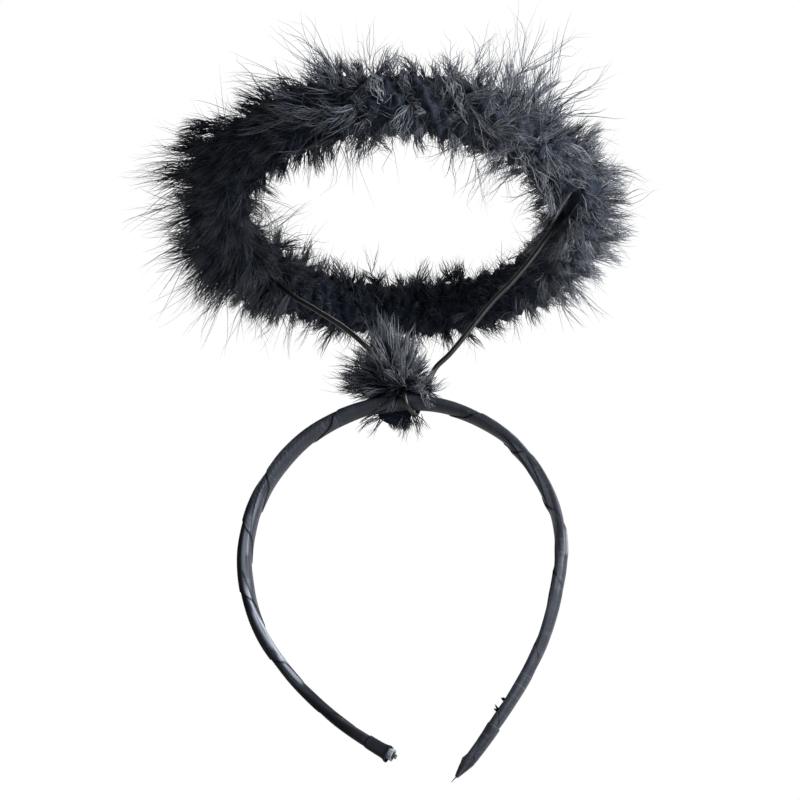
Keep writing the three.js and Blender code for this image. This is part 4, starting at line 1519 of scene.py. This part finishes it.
    def under_down(self, rng: np.random.Generator) -> Barbs:
        """Short curly barbs that stand out of the heart in every direction.

        A barb's point at share t is its root plus t times its way plus t squared times its bend.

        Args:
            rng: random numbers.

        Returns:
            The barbs.
        """
        count, rows = self.under_barbs, 4
        degrees = rng.uniform(0, 360, count)
        roll = rng.uniform(0, 360, count)
        centre, out = self.hoop.spokes(degrees, roll)
        way = unit(out + rng.normal(0, 0.55, (count, 3)))
        bend = rng.normal(0, 0.45, (count, 3))
        length = rng.uniform(0.25, 0.5, count) * self.reach(degrees, roll)
        t = np.linspace(0, 1, rows)[None, :, None]
        start = (centre + 0.7 * self.heart * out)[:, None, :]
        paths = start + length[:, None, None] * (t * way[:, None, :] + t ** 2 * bend[:, None, :])
        radii = rng.uniform(0.12, 0.2, count)[:, None] * (1 - 0.8 * np.linspace(0, 1, rows))
        # painted light: half the sectors' paleness, plus a random tone
        tone = np.clip(0.5 * self.lie(degrees, "paleness_and_painted_light") + rng.normal(0.04, 0.13, count), 0, 1)
        return Barbs(paths, radii, np.repeat(tone[:, None], rows, 1), degrees)

    def heart_surface(self) -> Surface:
        """Matted heart of the boa: a ring whose radius swells and shrinks in uneven waves.

        A groove runs over it where a leg of the wire comes out: its depth falls off with the square of
        the distance from the leg's parting, as in a bell curve.

        Returns:
            The heart.
        """
        degrees = np.linspace(0, 360, 481)
        roll = np.linspace(0, 2 * math.pi, 33)
        centre, outward, _, upward = self.hoop.frames(degrees)
        turn = np.radians(degrees)[:, None]
        swell = (1 + 0.10 * np.sin(23 * turn) * np.cos(2 * roll) + 0.10 * np.sin(41 * turn + 3 * roll)
                 + 0.10 * np.sin(67 * turn - 5 * roll + 1) + 0.08 * np.sin(97 * turn + 7 * roll))
        round_section = roll[None, :, None]
        ring = np.cos(round_section) * outward[:, None, :] + np.sin(round_section) * upward[:, None, :]
        for leg, covered in zip(self.wire.legs(), self.covered):
            way, open_way, beside = self.leg_axes(leg)
            offset = centre[:, None, :] + self.heart * ring - leg[0]
            aside = offset @ beside
            groove = np.exp(-(aside / 2.6) ** 2) * smooth(offset @ open_way, -1.0, 5.0)
            groove = groove * smooth(offset @ way, covered, covered + 4)
            swell = swell * (1 - 0.8 * groove)
        grid = centre[:, None, :] + self.heart * swell[..., None] * ring
        # painted light: the heart pales a little with the sectors' paleness
        tone = 0.12 * self.lie(degrees, "paleness_and_painted_light")[:, None] + 0 * swell
        return Surface.through(grid[::-1], marks={"tone": tone[::-1], "along": 0 * swell})

    def build(self, down: bpy.types.Material) -> None:
        """Makes the ring's pieces, a quarter of the ring each, and its heart.

        Args:
            down: finish of the down.
        """
        self.heart_surface().piece("halo_down_heart", Slot.DOWN, down, "halo_marabou")
        long_barbs, short_barbs = self.barbs()
        for number, quarter in enumerate(("right", "back", "left", "front")):
            long_surface = long_barbs.chosen(self.in_quarter(long_barbs, number)).surface(number)
            short_surface = short_barbs.chosen(self.in_quarter(short_barbs, number)).surface(number + 4)
            both = joined([long_surface, short_surface])
            both.piece(f"halo_down_{quarter}", Slot.DOWN, down, "halo_marabou")

    @staticmethod
    def in_quarter(barbs: Barbs, number: int) -> np.ndarray:
        """Mask of the barbs rooted in one quarter of the ring, the first one centred on +X."""
        return ((barbs.sector + 45) % 360 // 90).astype(int) == number


def joined(surfaces: list[Surface]) -> Surface:
    """One surface that holds several.

    Args:
        surfaces: surfaces with the same marks and no pattern map.

    Returns:
        The joined surface.
    """
    offsets = np.cumsum([0] + [len(surface.points) for surface in surfaces[:-1]])
    points = np.concatenate([surface.points for surface in surfaces])
    faces = np.concatenate([surface.faces + offset for surface, offset in zip(surfaces, offsets)])
    marks = {mark: np.concatenate([surface.marks[mark] for surface in surfaces])
             for mark in surfaces[0].marks}
    return Surface(points, faces, marks=marks)


@dataclass(frozen=True)
class BandTuft:
    """Marabou tuft over the tie: locks that fan up and to the left, and a point of down behind the band.

    Attributes:
        tie: where the down is tied to the wire.
        heart: middle of the matted heart.
        heart_size: half its length, depth and height.
        fan: how the locks spread in the band's plane: degrees from +X over the top, distance of their tips
            from the tie, their paleness, which is painted light, and how crowded they are.
        locks: how many locks there are.
        depth: degrees by which locks lean to the front and to the back.
        over_leg: how many of the locks lie over the left leg of the wire.
        leg_root: where those start.
        leg_tip: where they end.
        hem: middle of the down behind the band.
        hem_size: half its length, depth and height.
        hem_point: where its locks draw together.
        seed: of the random numbers.
    """

    tie: tuple[float, float, float] = (1.6, -1.5, 7.5)
    heart: tuple[float, float, float] = (-8.0, 0.5, 9.6)
    heart_size: tuple[float, float, float] = (10.0, 5.0, 5.8)
    fan: tuple[tuple[float, float, float, float], ...] = (
        (-8, 21, 0.05, 0.8), (14, 17, 0.35, 0.6), (40, 18, 0.6, 0.5), (65, 20, 0.6, 0.7), (84, 25, 0.6, 0.6),
        (100, 29, 0.6, 1.0), (114, 35, 0.55, 1.3), (128, 39, 0.52, 2.6), (138, 39, 0.45, 2.6),
        (150, 36, 0.2, 0.9), (166, 35, 0.0, 0.9), (178, 32, 0.0, 0.7), (190, 26, 0.1, 0.4),
    )
    locks: int = 190
    depth: tuple[float, float] = (-52.0, 34.0)
    over_leg: int = 32
    leg_root: tuple[float, float, float] = (0.0, -7.4, 8.5)
    leg_tip: tuple[float, float, float] = (-22.0, -4.0, 31.0)
    hem: tuple[float, float, float] = (-3.6, 7.3, 0.2)
    hem_size: tuple[float, float, float] = (7.2, 1.6, 5.0)
    hem_point: tuple[float, float, float] = (-1.4, 7.6, -9.4)
    seed: int = 8

    def build(self, down: bpy.types.Material) -> None:
        """Makes the tuft, its heart and the matted down behind the band.

        Args:
            down: finish of the down.
        """
        rng = np.random.default_rng(self.seed)
        parts = [self.strands(rng), self.fuzz(rng), self.nest(rng), self.hanging_point(rng), self.wisps(rng)]
        together(parts).surface(self.seed).piece("tuft_down", Slot.DOWN, down, "tuft")
        hearts = [self.egg(self.heart, self.heart_size), self.egg(self.hem, self.hem_size)]
        joined(hearts).piece("tuft_heart", Slot.DOWN, down, "tuft")

    @staticmethod
    def fan_way(fan: np.ndarray, tilt: np.ndarray) -> np.ndarray:
        """Ways at degrees round the fan and radians out of its plane."""
        angle = np.radians(fan)
        return np.stack([np.cos(angle) * np.cos(tilt), np.sin(tilt), np.sin(angle) * np.cos(tilt)], -1)

    def strands(self, rng: np.random.Generator) -> Barbs:
        """Thick strands of matted barbs from the heart to the tuft's outline, dark at their roots.

        They spread round the fan in proportion to its crowding. A tip is the tie plus its distance times
        its way, and a root lies up to nine tenths of the way from the tie to the heart.

        Args:
            rng: random numbers.

        Returns:
            The strands' barbs.
        """
        count = self.locks
        places, tips, fadings, crowds = np.array(self.fan).T
        crowded = np.concatenate([[0.0], np.cumsum((crowds[1:] + crowds[:-1]) / 2 * np.diff(places))])
        number = rng.permutation(count)
        fan = np.interp((number + rng.uniform(0, 1, count)) / count * crowded[-1], crowded, places)
        tilt = np.radians(rng.permutation(np.linspace(*self.depth, count)))
        tie, heart = np.array(self.tie), np.array(self.heart)
        far = np.interp(fan, places, tips) * rng.uniform(0.5, 1.0, count) ** 0.6
        tip = tie + far[:, None] * self.fan_way(fan, tilt)
        leftward = np.clip(-np.cos(np.radians(fan)), 0.1, 1)[:, None]
        root = tie + rng.uniform(0, 0.9, (count, 1)) * leftward * (heart - tie)
        root = root + np.array([2.2, 2.4, 2.0]) * rng.normal(0, 0.6, (count, 3))
        over = np.arange(count) >= count - self.over_leg
        leg_root = np.array(self.leg_root) + np.array([1.5, 0.8, 1.5]) * rng.uniform(-1, 1, (count, 3))
        leg_tip = np.array(self.leg_tip) + np.array([5.5, 2.0, 5.0]) * rng.uniform(-1, 1, (count, 3))
        root, tip = np.where(over[:, None], leg_root, root), np.where(over[:, None], leg_tip, tip)
        out = unit(tip - root)
        reach = np.linalg.norm(tip - root, axis=-1)
        lean = sideways(rng, out)
        plume = Plume(barbs=11, quill=0.1, bow=0.8, opening=(13.0, 7.0), closing=1.0, lengths=(0.6, 1.0),
                      fluff=1.5, clumps=1, gather=0.88, sag=0.0, thickness=0.42, root_tone=0.1)
        # painted light: the fan's paleness, paler towards the top
        paleness_and_painted_light = np.where(over, 0.52, np.interp(fan, places, fadings))
        return plume.grow(rng, root, out, lean, reach, np.full(count, 0.06), paleness_and_painted_light, fan)

    def fuzz(self, rng: np.random.Generator) -> Barbs:
        """Fine loose barbs between the strands.

        Args:
            rng: random numbers.

        Returns:
            The barbs.
        """
        count = 70
        places, tips, _, _ = np.array(self.fan).T
        fan = rng.uniform(places[0] - 6, places[-1], count)
        tilt = rng.normal(-0.1, 0.45, count)
        out = self.fan_way(fan, tilt)
        tie, heart = np.array(self.tie), np.array(self.heart)
        root = tie + rng.uniform(0, 0.8, (count, 1)) * (heart - tie)
        reach = np.interp(fan, places, tips) * rng.uniform(0.45, 0.95, count)
        lean = sideways(rng, out)
        plume = Plume(barbs=9, quill=0.2, opening=(34.0, 16.0), closing=10.0, lengths=(0.5, 1.0), fluff=1.5,
                      clumps=1, gather=0.2, sag=0.0, thickness=0.15, root_tone=0.5)
        return plume.grow(rng, root, out, lean, reach, np.full(count, 0.12), np.full(count, 0.55), fan)

    def nest(self, rng: np.random.Generator) -> Barbs:
        """Short pale curls round the tie and the right leg's foot, some of them hanging over the band.

        Args:
            rng: random numbers.

        Returns:
            Their barbs.
        """
        spots = np.array([[0.0, -4.5, 7.0], [5.5, -4.2, 6.8], [9.0, -3.0, 6.0], [9.5, -6.3, 3.6]])
        ways = np.array([[-0.5, -0.5, 0.5], [0.5, -0.4, 0.7], [0.9, -0.3, -0.2], [0.2, -0.3, -1.0]])
        kind = np.repeat(np.arange(4), (14, 16, 12, 6))
        count = len(kind)
        root = spots[kind] + np.array([2.0, 0.7, 1.2]) * rng.uniform(-1, 1, (count, 3))
        out = unit(ways[kind] + rng.normal(0, 0.45, (count, 3)) * np.array([1, 0.4, 1]))
        reach = rng.uniform(5, 9.5, count)
        lean = sideways(rng, out)
        plume = Plume(barbs=9, quill=0.3, bow=0.7, opening=(40.0, 20.0), closing=5.0, lengths=(0.5, 1.0),
                      fluff=1.5, clumps=1, gather=0.6, sag=0.0, thickness=0.2, root_tone=0.7)
        curl, paleness_and_painted_light = np.full(count, 0.12), np.full(count, 0.75)
        return plume.grow(rng, root, out, lean, reach, curl, paleness_and_painted_light, np.zeros(count))

    def hanging_point(self, rng: np.random.Generator) -> Barbs:
        """Dark locks behind the band that draw together to a point below it.

        Args:
            rng: random numbers.

        Returns:
            Their barbs.
        """
        count = 26
        root = np.array(self.hem) + np.array(self.hem_size) * rng.uniform(-0.9, 0.9, (count, 3))
        root[:, 2] = self.hem[2] + rng.uniform(0.5, 3.0, count)
        spread = rng.normal(0, 1, (count, 3)) * np.array([1.6, 0.5, 0.8])
        toward = np.array(self.hem_point) + spread - root
        reach = np.linalg.norm(toward, axis=-1) * rng.uniform(0.7, 1.05, count)
        lean = np.tile([0.3, 0.5, 0.0], (count, 1))
        plume = Plume(barbs=14, quill=0.2, opening=(16.0, 8.0), closing=3.0, lengths=(0.5, 1.0), fluff=1.2,
                      clumps=1, gather=0.7, sag=0.0, thickness=0.3)
        return plume.grow(rng, root, unit(toward), lean, reach, np.full(count, 0.03), np.zeros(count),
                          np.zeros(count))

    def wisps(self, rng: np.random.Generator) -> Barbs:
        """Thin wisps: to the left under the band, down from the tie, up over the halo's rim, to the right.

        Args:
            rng: random numbers.

        Returns:
            Their barbs.
        """
        ways = np.array([[-1.0, 0.1, -0.5], [0.3, 0.1, -1.0], [-0.1, 0.2, -1.0], [-0.42, -0.2, 1.0],
                         [1.0, 0.0, 0.12]])
        roots = np.array([[-10.0, 6.6, -0.5], [4.0, 6.4, -0.6], [1.0, 6.8, -1.0], [-5.0, -1.0, 18.0],
                          [8.0, 0.0, 5.5]])
        reaches = np.array([13.0, 12.0, 15.0, 27.0, 15.0])
        kind = np.repeat(np.arange(5), (9, 8, 4, 7, 4))
        count = len(kind)
        out = unit(ways[kind] + rng.normal(0, 0.13, (count, 3)))
        root = roots[kind] + rng.normal(0, 1.0, (count, 3)) * np.array([2.4, 0.4, 0.6])
        reach = reaches[kind] * rng.uniform(0.6, 1.1, count)
        lean = unit(rng.normal(size=(count, 3)))
        plume = Plume(barbs=5, quill=0.3, opening=(14.0, 8.0), closing=4.0, lengths=(0.5, 1.0), fluff=1.0,
                      clumps=1, gather=0.5, sag=0.0, thickness=0.17, root_tone=0.6)
        curl, paleness_and_painted_light = np.full(count, 0.1), np.full(count, 0.6)
        return plume.grow(rng, root, out, lean, reach, curl, paleness_and_painted_light, np.zeros(count))

    @staticmethod
    def egg(middle: tuple[float, float, float], size: tuple[float, float, float]) -> Surface:
        """Matted lump of down: an ellipsoid whose radius swells and shrinks in waves round it.

        Args:
            middle: its middle.
            size: half its length, depth and height.

        Returns:
            The lump.
        """
        polar = np.linspace(0, math.pi, 25)[:, None]
        turn = np.linspace(0, 2 * math.pi, 37)[None, :]
        swell = 1 + 0.08 * np.sin(5 * turn) * np.sin(3 * polar) * np.sin(polar)
        girth = np.sin(polar)
        ball = np.stack([np.cos(polar) + 0 * turn, girth * np.cos(turn), girth * np.sin(turn)], -1)
        surface = Surface.through((np.array(middle) + np.array(size) * ball * swell[..., None])[::-1])
        surface.marks = {"tone": np.zeros(len(surface.points)), "along": np.zeros(len(surface.points))}
        return surface


@dataclass(frozen=True)
class PhotoCamera:
    """Camera at the photograph's viewing angle, below the halo and looking up.

    Attributes:
        azimuth: degrees round from straight in front, to the right.
        elevation: degrees above the headband's level.
        distance: from the place it looks at.
        aim: the place it looks at.
        lens: focal length.
        sensor: width of the sensor.
    """

    azimuth: float = 7.80
    elevation: float = -18.98
    distance: float = 696.8
    aim: tuple[float, float, float] = (-0.61, 0.0, 3.06)
    lens: float = 76.65
    sensor: float = 36.0

    def build(self) -> None:
        """Makes the scene's camera."""
        side, rise = math.radians(self.azimuth), math.radians(self.elevation)
        back = Vector((math.sin(side) * math.cos(rise), -math.cos(side) * math.cos(rise), math.sin(rise)))
        data = bpy.data.cameras.new("photo_camera")
        data.lens = self.lens
        data.sensor_width = self.sensor
        data.clip_start = 0.01
        camera = bpy.data.objects.new("photo_camera", data)
        camera.location = (Vector(self.aim) + back * self.distance) * MM
        camera.rotation_mode = "QUATERNION"
        camera.rotation_quaternion = (-back).to_track_quat("-Z", "Y")
        bpy.context.scene.collection.objects.link(camera)
        bpy.context.scene.camera = camera


@dataclass(frozen=True)
class Studio:
    """Plain pale floor well below the headband, a white backdrop behind it, and soft light from the right.

    The surroundings are white round the way to the backdrop and fade to a dimmer room round the rest.

    Attributes:
        floor_height: height of the floor.
        floor_half: half its width.
        floor_colour: its colour.
        sky: strength of the white backdrop.
        room: strength of the surroundings elsewhere.
        backdrop: the way to the backdrop.
        lamps: name, place, width and watts of each lamp.
    """

    floor_height: float = -330.0
    floor_half: float = 3000.0
    floor_colour: str = "#c4c4c4"
    sky: float = 1.0
    room: float = 0.42
    backdrop: tuple[float, float, float] = (0.0, 0.95, 0.31)
    lamps: tuple[tuple[str, tuple[float, float, float], float, float], ...] = (
        ("key", (950.0, -400.0, 180.0), 500.0, 50.0),
        ("fill", (-800.0, -500.0, 250.0), 700.0, 1.5),
        ("rim", (200.0, 800.0, 700.0), 600.0, 5.0),
    )

    def build(self) -> None:
        """Makes the floor, the pale surroundings and the lamps."""
        self.floor()
        self.surroundings()
        for lamp in self.lamps:
            self.light(*lamp)

    def floor(self) -> None:
        """Makes the floor, which is stage and no part of the headband."""
        half = self.floor_half * MM
        height = self.floor_height * MM
        mesh = bpy.data.meshes.new("floor")
        mesh.from_pydata([(-half, -half, height), (half, -half, height), (half, half, height),
                          (-half, half, height)], [], [(0, 1, 2, 3)])
        material, tree = new_material("matt_backdrop_paper")
        shader = add_node(tree, "BsdfPrincipled", {"Base Color": linear(self.floor_colour),
                                                   "Roughness": 0.9})
        add_node(tree, "OutputMaterial", {"Surface": shader.outputs["BSDF"]})
        mesh.materials.append(material)
        floor = bpy.data.objects.new("floor", mesh)
        bpy.context.scene.collection.objects.link(floor)

    def surroundings(self) -> None:
        """Makes the world: its strength falls with the angle off the way to the backdrop."""
        world = bpy.data.worlds.new("pale_surroundings")
        world.use_nodes = True
        tree = world.node_tree
        way = add_node(tree, "TexCoord")
        backward = add_node(tree, "VectorMath", {0: way.outputs["Generated"], 1: self.backdrop},
                            operation="DOT_PRODUCT")
        light = add_node(tree, "MapRange", {"Value": backward.outputs["Value"], "From Min": 0.35,
                                            "From Max": 0.75, "To Min": self.room, "To Max": self.sky})
        background = tree.nodes["Background"]
        background.inputs["Color"].default_value = (1, 1, 1, 1)
        tree.links.new(light.outputs["Result"], background.inputs["Strength"])
        bpy.context.scene.world = world

    @staticmethod
    def light(name: str, place: tuple[float, float, float], size: float, power: float) -> None:
        """Makes a soft square lamp that shines on the headband.

        Args:
            name: the lamp's name.
            place: where it hangs.
            size: its width.
            power: its power in watts.
        """
        light = bpy.data.lights.new(name, "AREA")
        light.energy = power
        light.size = size * MM
        lamp = bpy.data.objects.new(name, light)
        lamp.location = Vector(place) * MM
        lamp.rotation_mode = "QUATERNION"
        lamp.rotation_quaternion = (-Vector(place)).to_track_quat("-Z", "Y")
        bpy.context.scene.collection.objects.link(lamp)


def dress(node: str, material: bpy.types.Material) -> None:
    """Gives a CAD node its finish.

    Args:
        node: the node's name.
        material: its finish.
    """
    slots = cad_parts[node].data.materials
    slots.clear()
    slots.append(material)


def main() -> None:
    """Builds the headband's pieces, from the band up, and the studio."""
    logging.basicConfig(level=logging.INFO, format="%(name)s: %(message)s")
    bpy.context.scene.view_settings.view_transform = "Standard"
    PhotoCamera().build()
    Studio().build()
    satin = SatinWeave().material()
    wire = CoatedWire().material()
    plastic = MouldedPlastic().material()
    down = DyedDown().material()
    arch = BandArch()
    dress("band_core", plastic)
    RibbonWinding(arch).surface().piece("ribbon_winding", Slot.RIBBON, satin, "ribbon_wrap")
    RibbonEnds(arch).build(satin)
    hoop = Hoop()
    stem = StemWire(arch, hoop)
    stem.build(wire)
    dress("halo_ring_wire", wire)
    HaloMarabou(hoop, stem).build(down)
    BandTuft().build(down)


if __name__ == "__main__":
    main()
